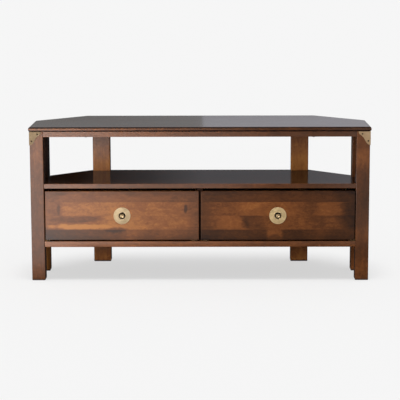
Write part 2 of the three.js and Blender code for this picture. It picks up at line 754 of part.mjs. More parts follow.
const cabinet = new THREE.Group();
add(cabinet, "top_panel", topPanel(), "stained");
const frontApron = railAlongX(LEG_INNER, frontApronSpan, frontApronTenon, topScrewHoles("front"));
const backApron = railAlongX(REAR_LEG_INNER, backApronSpan, backApronTenon, topScrewHoles("back"));
add(cabinet, "front_apron", frontApron, "stained");
add(cabinet, "back_apron", backApron, "stained");
add(cabinet, "bottom_rail", railAlongX(LEG_INNER, bottomRailSpan, bottomRailTenon), "stained");
add(cabinet, "shelf", shelf(), "stained");
add(cabinet, "bottom_panel", bottomPanel(), "plain");
add(cabinet, "back_panel", backPanelBlock.clone(), "stained");
add(cabinet, "centre_divider", centreDivider(), "plain");
for (const hand of ["left", "right"]) addHand(cabinet, hand);

// The origin lies on the floor, under the middle of the box that holds the cabinet and its knobs.
cabinet.position.y = (KNOB_REACH - DEPTH) / 2;

const group = new THREE.Group();
group.add(cabinet);

export default group;
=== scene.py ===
# %% [markdown]
# # A corner television cabinet
#
# The cabinet stands across the corner of a room: six square legs, a top with cut rear corners, an
# open bay for players, and two wide drawers with round brass pulls. Its construction is already
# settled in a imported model, where each piece has its true size and place. This notebook gives the
# pieces their looks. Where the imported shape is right, it only gets a finish. Where an eye would miss
# a soft edge, a hollow or a rim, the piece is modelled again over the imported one.

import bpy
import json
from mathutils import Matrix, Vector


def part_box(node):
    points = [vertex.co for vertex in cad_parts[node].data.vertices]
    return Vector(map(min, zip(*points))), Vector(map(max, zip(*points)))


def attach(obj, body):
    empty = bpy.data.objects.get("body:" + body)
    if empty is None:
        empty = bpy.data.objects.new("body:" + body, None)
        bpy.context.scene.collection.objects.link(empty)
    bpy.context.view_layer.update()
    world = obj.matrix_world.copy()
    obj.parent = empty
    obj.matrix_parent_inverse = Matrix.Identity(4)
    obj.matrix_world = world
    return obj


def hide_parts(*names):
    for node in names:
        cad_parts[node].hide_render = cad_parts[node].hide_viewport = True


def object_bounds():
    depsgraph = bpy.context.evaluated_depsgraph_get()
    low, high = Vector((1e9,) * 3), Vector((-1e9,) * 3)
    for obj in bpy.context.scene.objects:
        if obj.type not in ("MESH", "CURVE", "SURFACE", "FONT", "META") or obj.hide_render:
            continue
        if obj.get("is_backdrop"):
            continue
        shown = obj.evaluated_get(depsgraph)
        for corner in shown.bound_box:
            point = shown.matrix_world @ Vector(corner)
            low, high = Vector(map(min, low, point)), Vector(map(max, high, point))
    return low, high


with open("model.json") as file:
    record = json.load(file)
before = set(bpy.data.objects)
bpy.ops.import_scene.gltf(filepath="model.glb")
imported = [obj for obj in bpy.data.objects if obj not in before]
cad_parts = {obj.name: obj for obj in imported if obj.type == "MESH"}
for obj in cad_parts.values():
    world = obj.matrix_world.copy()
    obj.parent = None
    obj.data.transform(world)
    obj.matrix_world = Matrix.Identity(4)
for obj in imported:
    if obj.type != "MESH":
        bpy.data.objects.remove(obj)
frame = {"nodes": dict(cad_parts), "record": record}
cad_low, cad_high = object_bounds()
print("packed pieces:", len(frame["nodes"]), "size in metres:", [round(v, 4) for v in cad_high - cad_low])

# %% [markdown]
# ## Units and lists
#
# Blender works in metres, and cabinet makers in millimetres, so one short name converts between
# them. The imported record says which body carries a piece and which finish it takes. Both lists are
# read once here, so that no name is typed twice.

# %% Units and lists
import json
import math

import bpy
from mathutils import Matrix, Vector

MM = 0.001
scene = bpy.context.scene
record = frame["record"]
slot_of = {row["node"]: row["material_slot"] for row in record["subparts"]}
body_of = {node: body for body, nodes in record["behaviour"]["bodies"].items() for node in nodes}
HANDS = {"left": -1, "right": 1}
print("bodies:", sorted(set(body_of.values())))

# %% [markdown]
# ## The camera
#
# The photograph was taken from in front, a little above the top, with a long lens, so the six legs
# hardly spread. Place, tilt and lens below come from fitting the corners of the cabinet to their
# pixels. A camera that is aimed by angles is easier to fit than one that tracks an object.

# %% The camera
CAMERA_PLACE = (0.0453, -5.4221, 1.1306)
CAMERA_TILT = 9.14  # degrees below the horizon
CAMERA_TURN = 0.49  # degrees to the left
CAMERA_LEAN = -0.15  # degrees about its own axis
CAMERA_LENS = 135.56  # millimetres, for a sensor 36 mm wide

bpy.ops.object.camera_add(location=CAMERA_PLACE)
camera = bpy.context.object
camera.name = "photograph_camera"
camera.data.lens = CAMERA_LENS
camera.rotation_euler = (math.radians(90 - CAMERA_TILT), 0, math.radians(CAMERA_TURN))
camera.rotation_euler.rotate_axis("Z", math.radians(CAMERA_LEAN))
scene.camera = camera
scene.view_settings.view_transform = "Standard"
print("camera at", [round(v, 3) for v in camera.location])

# %% [markdown]
# ## Nodes in plain words
#
# A material is a small graph of nodes. In a window they are joined by hand, but in a script each one
# takes four or five lines. Short helpers keep that readable: one adds any node, one does sums, one
# makes cloudy noise, one stretches the coordinates that the noise reads, and one fades smoothly from
# one number to another.

# %% Nodes in plain words
def put(tree, kind, values=(), **settings):
    """Adds a node. Its sockets, named or in order, get values or the outputs of other nodes."""
    made = tree.nodes.new(kind)
    for name, value in settings.items():
        setattr(made, name, value)
    sockets = values.items() if isinstance(values, dict) else enumerate(values)
    for socket, value in sockets:
        if isinstance(value, bpy.types.NodeSocket):
            tree.links.new(value, made.inputs[socket])
        else:
            made.inputs[socket].default_value = value
    return made


def calc(tree, operation, *values):
    return put(tree, "ShaderNodeMath", values, operation=operation).outputs[0]


def noise(tree, place, scale, detail=2.0, distortion=0.0):
    values = {"Vector": place, "Scale": scale, "Detail": detail, "Distortion": distortion}
    return put(tree, "ShaderNodeTexNoise", values).outputs[0]


def stretch(tree, place, factors):
    return put(tree, "ShaderNodeVectorMath", (place, factors), operation="MULTIPLY").outputs[0]


def fade(tree, distance, start, end, first, last):
    """A number that changes smoothly between two distances."""
    values = {"Value": distance, "From Min": start, "From Max": end, "To Min": first, "To Max": last}
    return put(tree, "ShaderNodeMapRange", values, interpolation_type="SMOOTHSTEP").outputs[0]


print("helpers:", [helper.__name__ for helper in (put, calc, noise, stretch, fade)])

# %% [markdown]
# A new material comes with a shader of its own. It could be looked up and changed, but it is simpler
# to throw it away, so that a material holds only what the script puts into it.

# %% Empty materials
def bare_material(name):
    made = bpy.data.materials.new(name)
    made.use_nodes = True
    made.node_tree.nodes.clear()
    return made, made.node_tree


def surface(tree, shader):
    put(tree, "ShaderNodeOutputMaterial", {"Surface": shader})


print("materials so far:", len(bpy.data.materials))

# %% [markdown]
# ## Colours
#
# Colours are written as codes, as they look on a screen. Blender works with amounts of light, so one
# helper converts them. A colour ramp then turns a number from 0 to 1 into a colour. The same ramp
# serves for the stain, for tarnish, and for the brightness along a studio card.

# %% Colours
def paint(code):
    """A colour as on a screen, such as 5a3a2a, as four numbers of light."""
    shares = [int(code[i : i + 2], 16) / 255 for i in (0, 2, 4)]
    return [s / 12.92 if s <= 0.04045 else ((s + 0.055) / 1.055) ** 2.4 for s in shares] + [1.0]


def painted(stops):
    """Stops whose colour codes are turned into light."""
    return [(place, paint(code)) for place, code in stops]


def blend_stops(tree, factor, stops):
    """A colour for a number from 0 to 1. Each stop is a place in that range and its colour."""
    band = put(tree, "ShaderNodeValToRGB", [factor])
    ramp = band.color_ramp
    while len(ramp.elements) < len(stops):
        ramp.elements.new(0.5)
    for element, (place, colour) in zip(ramp.elements, stops):
        element.position = place
        element.color = colour
    return band.outputs[0]


print("half grey on a screen is this much light:", round(paint("808080")[0], 3))

# %% [markdown]
# ## Studio
#
# The cabinet stands in a pale studio without a horizon. A world that is as bright as it looks would
# do, but it would light the cabinet from all sides and wash out its shading. So rays that come from
# the camera or from a mirror see the same pale colour everywhere, and all other rays see a much
# dimmer world.

# %% Surroundings
PALE = "f6f6f6"
AMBIENT = 0.36  # brightness of the world as it lights things


def seen_rays(tree):
    """1 for rays that see the background: straight from the camera, mirrored or passed through."""
    path = put(tree, "ShaderNodeLightPath")
    seen = calc(tree, "MAXIMUM", path.outputs["Is Camera Ray"], path.outputs["Is Glossy Ray"])
    return calc(tree, "MAXIMUM", seen, path.outputs["Is Transmission Ray"])


def make_world():
    world = bpy.data.worlds.new("pale_studio")
    world.use_nodes = True
    tree = world.node_tree
    tree.nodes.clear()
    light = put(tree, "ShaderNodeBackground", {"Color": (1, 1, 1, 1), "Strength": AMBIENT})
    sight = put(tree, "ShaderNodeBackground", {"Color": paint(PALE), "Strength": 1.0})
    both = [seen_rays(tree), light.outputs[0], sight.outputs[0]]
    mixed = put(tree, "ShaderNodeMixShader", both)
    put(tree, "ShaderNodeOutputWorld", [mixed.outputs[0]])
    scene.world = world


make_world()
print("world:", scene.world.name)

# %% [markdown]
# A photographer bends a sheet of paper up behind the piece. Here a pale floor can simply run on under
# the camera and behind the cabinet, so no bend is needed. Two thirds of its brightness is its own,
# so its shadows stay as light as those in the photograph. The rest comes from the lamps and the
# world.

# %% Floor
FLOOR_GLOW_SHARE = 0.66  # of the floor's brightness that no shadow takes away
FLOOR_SIZE = 120.0


def make_floor():
    bpy.ops.mesh.primitive_plane_add(size=FLOOR_SIZE)
    floor = bpy.context.object
    floor.name = "studio_floor"
    material, tree = bare_material("pale_floor")
    matt = put(tree, "ShaderNodeBsdfDiffuse", {"Color": paint(PALE)})
    glow = put(tree, "ShaderNodeEmission", {"Color": paint(PALE), "Strength": seen_rays(tree)})
    mixed = put(tree, "ShaderNodeMixShader", [FLOOR_GLOW_SHARE, matt.outputs[0], glow.outputs[0]])
    surface(tree, mixed.outputs[0])
    floor.data.materials.append(material)
    floor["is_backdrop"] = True
    return floor


studio_floor = make_floor()
print("floor:", FLOOR_SIZE, "m across")

# %% [markdown]
# ## Lamps
#
# A sun overhead leaves the shadow where the photograph has it, right below the cabinet. A lamp in
# the ceiling could do the same, but its light would fade towards the sides. The strength of a lamp
# is written as a share of the light that makes a facing white board white. No lamp is mirrored in
# the lacquer: the cards of a later step are there for that.

# %% The sun
SUN_PLACE = (0.0, -0.6, 5.0)
SUN_SPREAD = 24  # degrees, for a soft edge of the shadow
SUN_SHARE = 0.64


def aimed(lamp, place, aim):
    lamp.rotation_euler = (Vector(aim) - Vector(place)).to_track_quat("-Z", "Y").to_euler()


def add_top_sun():
    bpy.ops.object.light_add(type="SUN", location=SUN_PLACE)
    sun = bpy.context.object
    sun.name = "top_sun"
    aimed(sun, SUN_PLACE, (0, 0, 0))
    sun.data.energy = math.pi * SUN_SHARE
    sun.data.angle = math.radians(SUN_SPREAD)
    sun.visible_glossy = False
    return sun


top_sun = add_top_sun()
print("lamp:", top_sun.name)

# %% [markdown]
# A softbox at the front left lights the cabinet itself. It stands close, so the left end gets about
# two and a half times the light of the right end. A second sun would light both ends alike. The
# softbox would leave a bright patch on the floor, so the floor is taken off the list of things that
# it lights.

# %% The softbox
KEY_PLACE = (-0.85, -1.80, 0.62)
KEY_AIM = (-0.30, 0.0, 0.30)
KEY_WIDTH = 0.6
KEY_HEIGHT = 1.1
KEY_SHARE = 0.88  # on a board that faces it, where it aims


def add_key():
    bpy.ops.object.light_add(type="AREA", location=KEY_PLACE)
    key = bpy.context.object
    key.name = "key_softbox"
    aimed(key, KEY_PLACE, KEY_AIM)
    key.data.shape = "RECTANGLE"
    key.data.size = KEY_WIDTH
    key.data.size_y = KEY_HEIGHT
    distance = (Vector(KEY_AIM) - Vector(KEY_PLACE)).length
    key.data.energy = KEY_SHARE * (math.pi * distance) ** 2
    key.visible_glossy = False
    unlit = bpy.data.collections.new("not_lit_by_the_key")
    unlit.objects.link(studio_floor)
    unlit.collection_objects[0].light_linking.link_state = "EXCLUDE"
    key.light_linking.receiver_collection = unlit
    return key


key_softbox = add_key()
print("lamp:", key_softbox.name)

# %% [markdown]
# ## Cards
#
# Lacquer and brass show what stands round them, and a photographer puts up cards for that. A large
# soft lamp could take a card's place, but it would light the wood as well. So a card here is a
# glowing plane that shows only in mirror images and changes nothing else. Its brightness is a list
# of places along its length, from 0 at its left end to 1 at its right, each with a level.

# %% A card
def add_card(name, low, high, levels, blue=1.0):
    """A card between two corners. Above 1, the last number makes it a little bluish."""
    low, high = Vector(low), Vector(high)
    upright = low.y == high.y
    turn = (math.pi / 2, 0, 0) if upright else (0, 0, 0)
    bpy.ops.mesh.primitive_plane_add(size=1, location=(low + high) / 2, rotation=turn)
    card = bpy.context.object
    card.name = name
    card.scale = (high.x - low.x, high.z - low.z if upright else high.y - low.y, 1)
    material, tree = bare_material(name + "_paper")
    place = put(tree, "ShaderNodeTexCoord").outputs["UV"]
    along = put(tree, "ShaderNodeSeparateXYZ", [place]).outputs[0]
    stops = [(share, (level, level, blue * level, 1)) for share, level in levels]
    glow = put(tree, "ShaderNodeEmission", {"Color": blend_stops(tree, along, stops)})
    surface(tree, glow.outputs[0])
    card.data.materials.append(material)
    card.visible_camera = False
    card.visible_diffuse = False
    card.visible_transmission = False
    card.visible_shadow = False
    card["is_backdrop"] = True
    return card


REACH = 2.0  # half the length of the long cards
FRONT = -1.5
BACK = 1.3
CEILING = 3.0
GROUND = 4 * MM  # where a card lies just above the floor
BAY_LOW = 0.46  # lower end of the strip behind the cabinet that the shelf mirrors
BAY_HIGH = 0.64
print("cards stand from", FRONT, "to", BACK, "m, and reach", REACH, "m to each side")

# %% [markdown]
# In the photograph a haze lies over the left half of the cabinet and dies away to the right. It is
# the mirror image of something bright at the front left, so the cards in front are bright there. The
# lower a place on the cabinet's front, the nearer the spot on the floor that it mirrors, which is
# why the floor has cards of its own. Rounded edges mirror the higher cards as well, and the dim gap
# between the two lowest becomes a thin dark line.

# %% Cards in front
HAZE = [
    (0.28, 2.75), (0.34, 2.2), (0.38, 1.75), (0.44, 0.98),
    (0.51, 0.70), (0.58, 0.14), (0.63, 0.20), (0.66, 0.40),
]
FAR_HAZE = [(share, 1.1 * level) for share, level in HAZE]
MIDDLE_HAZE = [(0.36, 2.0), (0.39, 0.5), (0.44, 0.15), (0.51, 0.05)]
NEAR_HAZE = [(share, 0.2 * level) for share, level in HAZE]
DIM = [(0.0, 0.05), (1.0, 0.03)]
DARK = [(0.0, 0.03), (1.0, 0.02)]
FRONT_CARDS = (  # name, lower end, upper end and brightness
    ("front_card", 0.0, 0.56, HAZE),
    ("front_gap_card", 0.56, 0.7, DIM),
    ("brow_card", 0.7, 1.2, HAZE),
    ("front_high_card", 1.2, CEILING, DIM),
)
FLOOR_CARDS = (  # name, front end, rear end and brightness
    ("far_floor_card", FRONT, -0.84, FAR_HAZE),
    ("middle_floor_card", -0.84, -0.42, MIDDLE_HAZE),
    ("near_floor_card", -0.42, -0.22, NEAR_HAZE),
    ("under_card", -0.22, 0.3, DARK),
)

for name, bottom, top, levels in FRONT_CARDS:
    add_card(name, (-REACH, FRONT, bottom), (REACH, FRONT, top), levels)
for name, ahead, behind, levels in FLOOR_CARDS:
    add_card(name, (-REACH, ahead, GROUND), (REACH, behind, GROUND), levels)
add_card("ceiling_card", (-REACH, FRONT, CEILING), (REACH, BACK, CEILING), DARK)
print("cards in front, below and above:", len(FRONT_CARDS) + len(FLOOR_CARDS) + 1)

# %% [markdown]
# The top and the shelf lie flat and are seen at a low angle, so they mirror what stands behind the
# cabinet. The top shows a step across its middle, from a dark half to a pale one, and two cards that
# meet there give it. The shelf is lower and mirrors the strip below those two, which gets brighter
# towards the right. The sheen at the right is slightly blue, and so are its cards.

# %% Cards behind
BLACK = [(0.0, 0.01), (1.0, 0.02)]
BAY_SHEEN = [(0.36, 0.0), (0.44, 0.11), (0.50, 0.25), (0.60, 0.27), (0.70, 0.38)]
TOP_HIGH = 1.6  # upper end of the two cards that the top mirrors
BLUISH = 1.08

add_card("back_low_card", (-REACH, BACK, 0), (REACH, BACK, BAY_LOW), BLACK)
add_card("back_floor_card", (-REACH, 0.3, GROUND), (REACH, BACK, GROUND), BLACK)
add_card("back_middle_card", (-REACH, BACK, BAY_LOW), (REACH, BACK, BAY_HIGH), BAY_SHEEN, BLUISH)
add_card("back_left_card", (-REACH, BACK, BAY_HIGH), (0, BACK, TOP_HIGH), [(0.2, 0.37), (0.8, 0.30)])
add_card("back_right_card", (0, BACK, BAY_HIGH), (REACH, BACK, TOP_HIGH), [(0.0, 0.51), (1.0, 0.57)], BLUISH)

# %% [markdown]
# ## Stained wood
#
# The visible wood is glued up from staves of a pale hardwood, stained chestnut brown and lacquered.
# A picture of wood could be wrapped round the boards, but every leg and rail would need its own, and
# it would look soft from close by. So the wood is worked out from noise. The stain takes unevenly:
# one stave goes nearly black and the next stays orange. The material therefore starts from a tone,
# from 0 for nearly black to 1 for orange. It adds clouds, flames, curls, streaks and pores, and only
# then turns the sum into a colour.

# %% Layers of the stain
STAIN = [(0.0, "291a14"), (0.25, "422716"), (0.5, "5a341b"), (0.75, "7b4824"), (1.0, "a16832")]
STAIN_LAYERS = {  # stretch along, across and into the wood, then detail, distortion and strength
    "clouds": ((9, 24, 24), 4.0, 0.8, 0.38),
    "flames": ((38, 62, 62), 3.0, 1.6, 0.36),
    "curls": ((110, 160, 160), 2.0, 1.2, 0.22),
    "streaks": ((14, 150, 150), 2.0, 0.3, 0.15),
    "pores": ((40, 420, 420), 1.0, 0.0, 0.10),
}
print("layers of the stain:", ", ".join(STAIN_LAYERS))

# %% [markdown]
# Along the grain the noise has to change slowly, and across it fast. A UV map could say which way
# the grain runs, but every board would have to be unwrapped for it. The boards are straight, so
# their own coordinates will do, put in order: along the grain, across it and into the wood. For a
# board that stands at 45 degrees they are turned first.

# %% Directions of the grain
GRAIN_ORDERS = {  # which of x, y and z runs along the grain, across it and into the wood
    "x": (0, 1, 2),
    "front": (0, 2, 1),
    "z": (2, 0, 1),
    "y": (1, 2, 0),
}


def grain_axes(tree, grain, turn):
    """Object coordinates as distances along the grain, across it and into the wood."""
    place = put(tree, "ShaderNodeTexCoord").outputs["Object"]
    if turn:
        angle = (0, 0, math.radians(turn))
        place = put(tree, "ShaderNodeMapping", {"Vector": place, "Rotation": angle}).outputs[0]
    parts = put(tree, "ShaderNodeSeparateXYZ", [place]).outputs
    return [parts[i] for i in GRAIN_ORDERS[grain]]


print("the grain may run:", ", ".join(GRAIN_ORDERS))

# %% [markdown]
# Each layer then stretches these coordinates in its own way. Each stave jumps to another place in
# the noise, so that no pattern runs on into the next stave. The clouds change the roughness too, and
# the streaks and pores the relief, as lacquer sinks into them. One function makes all the variants.
# Tone and gloss can be handed in as functions, where they change along or across a piece.

# %% Stained wood
STAVE_JUMP = 37.0  # metres along the noise, at most, from one stave's pattern to the next
WOOD_ROUGHNESS = 0.24
ROUGHNESS_RANGE = 0.08  # between the clouds of the stain
WOOD_GLOSS = 0.5
WOOD_BUMP = {"Strength": 0.10, "Distance": 0.15 * MM}
LACQUER_INDEX = 1.5


def stained(name, grain, tone, rough=WOOD_ROUGHNESS, turn=0, gloss=WOOD_GLOSS):
    """A stained wood. Tone is a function for a stave's tone and its own number, and gloss may be one."""
    material, tree = bare_material(name)
    along, across, into = grain_axes(tree, grain, turn)
    value, stave = tone(tree, along, across)
    jump = calc(tree, "MULTIPLY_ADD", stave, STAVE_JUMP, along)
    fibre = put(tree, "ShaderNodeCombineXYZ", [jump, across, into]).outputs[0]
    layers = {}
    for layer, (factors, detail, distortion, strength) in STAIN_LAYERS.items():
        layers[layer] = noise(tree, stretch(tree, fibre, factors), 1.0, detail, distortion)
        change = calc(tree, "SUBTRACT", layers[layer], 0.5)
        value = calc(tree, "MULTIPLY_ADD", change, strength, value)
    least = rough - ROUGHNESS_RANGE / 2
    roughness = calc(tree, "MULTIPLY_ADD", layers["clouds"], ROUGHNESS_RANGE, least)
    pores = calc(tree, "MULTIPLY", layers["pores"], 0.5)
    height = calc(tree, "MULTIPLY_ADD", layers["streaks"], 0.5, pores)
    bump = put(tree, "ShaderNodeBump", WOOD_BUMP | {"Height": height})
    shine = gloss(tree, across) if callable(gloss) else gloss
    values = {"Base Color": blend_stops(tree, value, painted(STAIN)), "Roughness": roughness}
    values |= {"Normal": bump.outputs[0], "Specular IOR Level": shine, "IOR": LACQUER_INDEX}
    surface(tree, put(tree, "ShaderNodeBsdfPrincipled", values).outputs[0])
    return material


print("shades of the stain, from dark to pale:", ", ".join(code for _, code in STAIN))

# %% [markdown]
# ## Tones
#
# Most boards get their tones by chance: each stave has one of its own, near a middle tone. White
# noise gives the same number to every point of a stave, once its row and its column are whole
# numbers. Each row is shifted by chance as well, so that the joints don't line up.

# %% Tones by chance
STAVE_WIDTH = 49 * MM
STAVE_LENGTH = 420 * MM


def random_staves(middle, spread, seed):
    """Each stave has a tone by chance, near a middle tone."""

    def tone(tree, along, across):
        start = calc(tree, "ADD", across, seed * MM)
        row = calc(tree, "FLOOR", calc(tree, "DIVIDE", start, STAVE_WIDTH))
        shift = put(tree, "ShaderNodeTexWhiteNoise", {"W": row}, noise_dimensions="1D").outputs[0]
        column = calc(tree, "ADD", calc(tree, "DIVIDE", along, STAVE_LENGTH), shift)
        cell = put(tree, "ShaderNodeCombineXYZ", [row, calc(tree, "FLOOR", column), seed]).outputs[0]
        own = put(tree, "ShaderNodeTexWhiteNoise", {"Vector": cell}, noise_dimensions="3D").outputs[0]
        return calc(tree, "MULTIPLY_ADD", calc(tree, "SUBTRACT", own, 0.5), spread, middle), own

    return tone


print("a stave:", round(STAVE_LENGTH / MM), "by", round(STAVE_WIDTH / MM), "mm")

# %% [markdown]
# What the photograph shows best is written down instead. A tone is given at a few places along the
# piece, as shares of its length, and a curve runs straight between them. The top and the shelf need
# both kinds, since their front edges are lighter than their faces.

# %% Tones from a list
def share_of(tree, distance, low, high):
    return calc(tree, "DIVIDE", calc(tree, "SUBTRACT", distance, low), high - low)


def tone_curve(tree, share, knots):
    """A curve of straight stretches through knots, each a share of the way and a tone."""
    made = put(tree, "ShaderNodeFloatCurve", {"Value": share})
    curve = made.mapping.curves[0]
    for _ in knots[2:]:
        curve.points.new(0.5, 0.5)
    for point, knot in zip(curve.points, knots):
        point.location = knot
        point.handle_type = "VECTOR"
    made.mapping.update()
    return made.outputs[0]


def listed(knots, low, high):
    """Tones along a piece that runs from one place to another."""

    def tone(tree, along, across):
        return tone_curve(tree, share_of(tree, along, low, high), knots), 0.0

    return tone


def lipped(face, edge, lip):
    """One tone for the face, and another for the front edge, as far as a line across the grain."""

    def tone(tree, along, across):
        value, stave = face(tree, along, across)
        ahead = calc(tree, "LESS_THAN", across, edge)
        step = calc(tree, "SUBTRACT", lip(tree, along, across)[0], value)
        return calc(tree, "MULTIPLY_ADD", ahead, step, value), stave

    return tone


print("tones come from:", [source.__name__ for source in (random_staves, listed, lipped)])

# %% [markdown]
# ## Woods of the wide boards
#
# The boards that are wider than a stave get theirs now, and narrow pieces get a wood of their own
# with their shape. Any lacquer mirrors strongly when it is seen at a flat angle, but in the
# photograph the shelf does so much less than the top. So its face gets hardly any gloss, while its
# front edge, which is seen straight on, gets plenty.

# %% Woods of the wide boards
# Partly the wood's own tone, and partly painted light and shade: both lists fall from left to right, which
# deepens the fall of the softbox's light towards the right.
TOP_LIP = [(0, 0.64), (0.3, 0.60), (0.7, 0.34), (1, 0.28)]
SHELF_LIP = [(0, 0.58), (0.2, 0.56), (0.8, 0.43), (1, 0.42)]


def lipped_wood(node, face, knots, depth, rough, face_gloss, edge_gloss):
    """A board's wood whose front edge, up to a depth, has its own tones and gloss."""
    low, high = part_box(node)
    edge = low.y + depth
    tone = lipped(face, edge, listed(knots, low.x, high.x))

    def gloss(tree, across):
        ahead = calc(tree, "LESS_THAN", across, edge)
        return calc(tree, "MULTIPLY_ADD", ahead, edge_gloss - face_gloss, face_gloss)

    return stained(node + "_staves", "x", tone, rough, gloss=gloss)


top_wood = lipped_wood(
    "top_panel", random_staves(middle=0.03, spread=0.08, seed=3), TOP_LIP,
    depth=0.4 * MM, rough=0.16, face_gloss=0.5, edge_gloss=0.6)
shelf_wood = lipped_wood(
    "shelf", random_staves(middle=0.16, spread=0.10, seed=11), SHELF_LIP,
    depth=2.5 * MM, rough=0.11, face_gloss=0.025, edge_gloss=0.75)
front_panel_wood = stained("straight_panel_staves", "front", random_staves(0.45, 0.3, seed=17))
side_panel_wood = stained("side_panel_staves", "y", random_staves(0.45, 0.3, seed=23))
divider_wood = stained("divider_staves", "y", random_staves(0.1, 0.1, seed=31), rough=0.5, gloss=0.1)
corner_woods = {}
for hand, side in HANDS.items():
    corner_tone = random_staves(0.45, 0.3, seed=29)
    corner_woods[hand] = stained(hand + "_corner_staves", "front", corner_tone, turn=45 * side)
print("stained woods:", len([m for m in bpy.data.materials if "staves" in m.name]))

# %% [markdown]
# ## Plain wood
#
# Drawer boxes, runners and the bottom of the case are left unstained, as inside most furniture. It
# is the same recipe with a narrow band of pale browns, a dull surface and no staves: broad rings
# give most of the tone, and fine streaks give the rest and the feel of the grain.

# %% Plain wood
PLAIN = [(0.0, "7d5f41"), (0.5, "9b7a55"), (1.0, "b99a70")]
RING_STRETCH = (2.5, 30, 30)
STREAK_STRETCH = (12, 260, 260)
RING_SHARE = 0.75
PLAIN_ROUGHNESS = 0.5
STREAK_ROUGHNESS = 0.15
PLAIN_GLOSS = 0.3
PLAIN_BUMP = {"Strength": 0.25, "Distance": 0.2 * MM}


def plain(name, grain):
    material, tree = bare_material(name)
    along, across, into = grain_axes(tree, grain, 0)
    fibre = put(tree, "ShaderNodeCombineXYZ", [along, across, into]).outputs[0]
    rings = noise(tree, stretch(tree, fibre, RING_STRETCH), 1.0, detail=4.0, distortion=1.2)
    streaks = noise(tree, stretch(tree, fibre, STREAK_STRETCH), 1.0)
    rest = calc(tree, "MULTIPLY", streaks, 1 - RING_SHARE)
    value = calc(tree, "MULTIPLY_ADD", rings, RING_SHARE, rest)
    bump = put(tree, "ShaderNodeBump", PLAIN_BUMP | {"Height": streaks})
    rough = calc(tree, "MULTIPLY_ADD", streaks, STREAK_ROUGHNESS, PLAIN_ROUGHNESS)
    values = {"Base Color": blend_stops(tree, value, painted(PLAIN)), "Roughness": rough}
    values |= {"Normal": bump.outputs[0], "Specular IOR Level": PLAIN_GLOSS}
    surface(tree, put(tree, "ShaderNodeBsdfPrincipled", values).outputs[0])
    return material


plain_woods = {grain: plain("plain_wood_" + grain, grain) for grain in ("x", "front", "y")}
print("plain woods:", sorted(plain_woods))

# %% [markdown]
# ## Metals
#
# The brass is old gold rather than yellow, the nails are browned, and the screws are zinc plated.
# One even colour would look like plastic. So each metal runs between two shades with clouds of
# tarnish, and goes down to a dark brown where a piece's own function for wear, grime and painted
# shade says so. A fully metallic surface mirrors its surroundings too clearly for old brass, whose
# film scatters light, so its shine is given as a share.

# %% Metals
# The darkest brown of every metal, reached by grime and by painted shade in hollows.
GRIME_AND_SHADE = "1c140b"
MARK_STRENGTH = 0.15
MARK_DEPTH = 0.1 * MM
TARNISH_SHARE = 0.8  # of the tone, where fine specks give the rest
FINENESS = 9  # of the specks, beside the clouds
POLISH_RANGE = 0.12  # of the roughness, between dull and clean spots


def metal(name, low, high, rough, scale, marks=None, shine=1.0, wear_and_shade=None):
    """A metal between two shades. Marks are a function for its height, and wear_and_shade one for the changes
    of its tone by wear, grime and painted shade.
    """
    material, tree = bare_material(name)
    place = put(tree, "ShaderNodeTexCoord").outputs["Object"]
    tarnish = noise(tree, place, scale, detail=4.0, distortion=0.4)
    fine = noise(tree, place, FINENESS * scale)
    specks = calc(tree, "MULTIPLY", fine, 1 - TARNISH_SHARE)
    value = calc(tree, "MULTIPLY_ADD", tarnish, TARNISH_SHARE, specks)
    if wear_and_shade:
        value = calc(tree, "ADD", value, wear_and_shade(tree, place))
    roughness = calc(tree, "MULTIPLY_ADD", tarnish, -POLISH_RANGE, rough + POLISH_RANGE / 2)
    height = marks(tree, place) if marks else fine
    relief = {"Strength": MARK_STRENGTH, "Distance": MARK_DEPTH, "Height": height}
    bump = put(tree, "ShaderNodeBump", relief)
    shades = painted([(0.0, GRIME_AND_SHADE), (0.3, low), (0.7, high)])
    values = {"Base Color": blend_stops(tree, value, shades), "Metallic": shine}
    values |= {"Roughness": roughness, "Normal": bump.outputs[0]}
    surface(tree, put(tree, "ShaderNodeBsdfPrincipled", values).outputs[0])
    return material


nail_brass = metal("browned_nail_brass", "0d0906", "1c140c", rough=0.5, scale=300)
zinc = metal("zinc_plate", "8f9092", "b9babc", rough=0.36, scale=160)
print("metals of the nails and screws:", nail_brass.name, zinc.name)

# %% [markdown]
# ## Marks, wear and painted shade of the pulls
#
# A pull is turned, so its marks and its wear follow the distance from its middle. Each pull could
# have a material of its own, but they mirror each other. So the distance from the middle of the
# cabinet, taken without its sign, serves for both.

# %% Distance from a pull
knob_low, knob_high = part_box("right_knob")
PULL = (knob_low + knob_high) / 2


def pull_radius(tree, place):
    """The distance from the axis of the nearer pull."""
    x, _, z = put(tree, "ShaderNodeSeparateXYZ", [place]).outputs
    out = calc(tree, "SUBTRACT", calc(tree, "ABSOLUTE", x), PULL.x)
    up = calc(tree, "SUBTRACT", z, PULL.z)
    return calc(tree, "SQRT", calc(tree, "ADD", calc(tree, "POWER", out, 2), calc(tree, "POWER", up, 2)))


print("middle of a pull:", [round(v, 4) for v in PULL])

# %% [markdown]
# Fine rings run round the plate, and its field falls off a little towards the rim. Both are only
# height in the bump: the rings are too fine to model, and the imported field is flat and stays so.
# The hollow behind the drawer's face is darkened, partly as grime and partly as painted shade in
# the recess. The lip and the rim are rubbed bright, and the edge of the ball is darkened with painted
# shade, so that only its crown stays bright.

# %% Marks, wear and painted shade of the pulls
PULL_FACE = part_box("right_drawer_front")[0].y
RING_SPACING = 1.1 * MM
FIELD_SLOPE = math.tan(math.radians(8))
# This also stands for painted shade: in the hollow and at the edge of the ball.
GRIME_AND_SHADE_DEPTH = -0.55  # what grime takes off the tone
RUBBED = 0.45  # what rubbing adds to it
RUBBED_RINGS = ((13.1 * MM, 1.3 * MM), (29.0 * MM, 1.3 * MM))  # radius and half width
CROWN_RADIUS = 5.5 * MM  # of the bright part of the ball
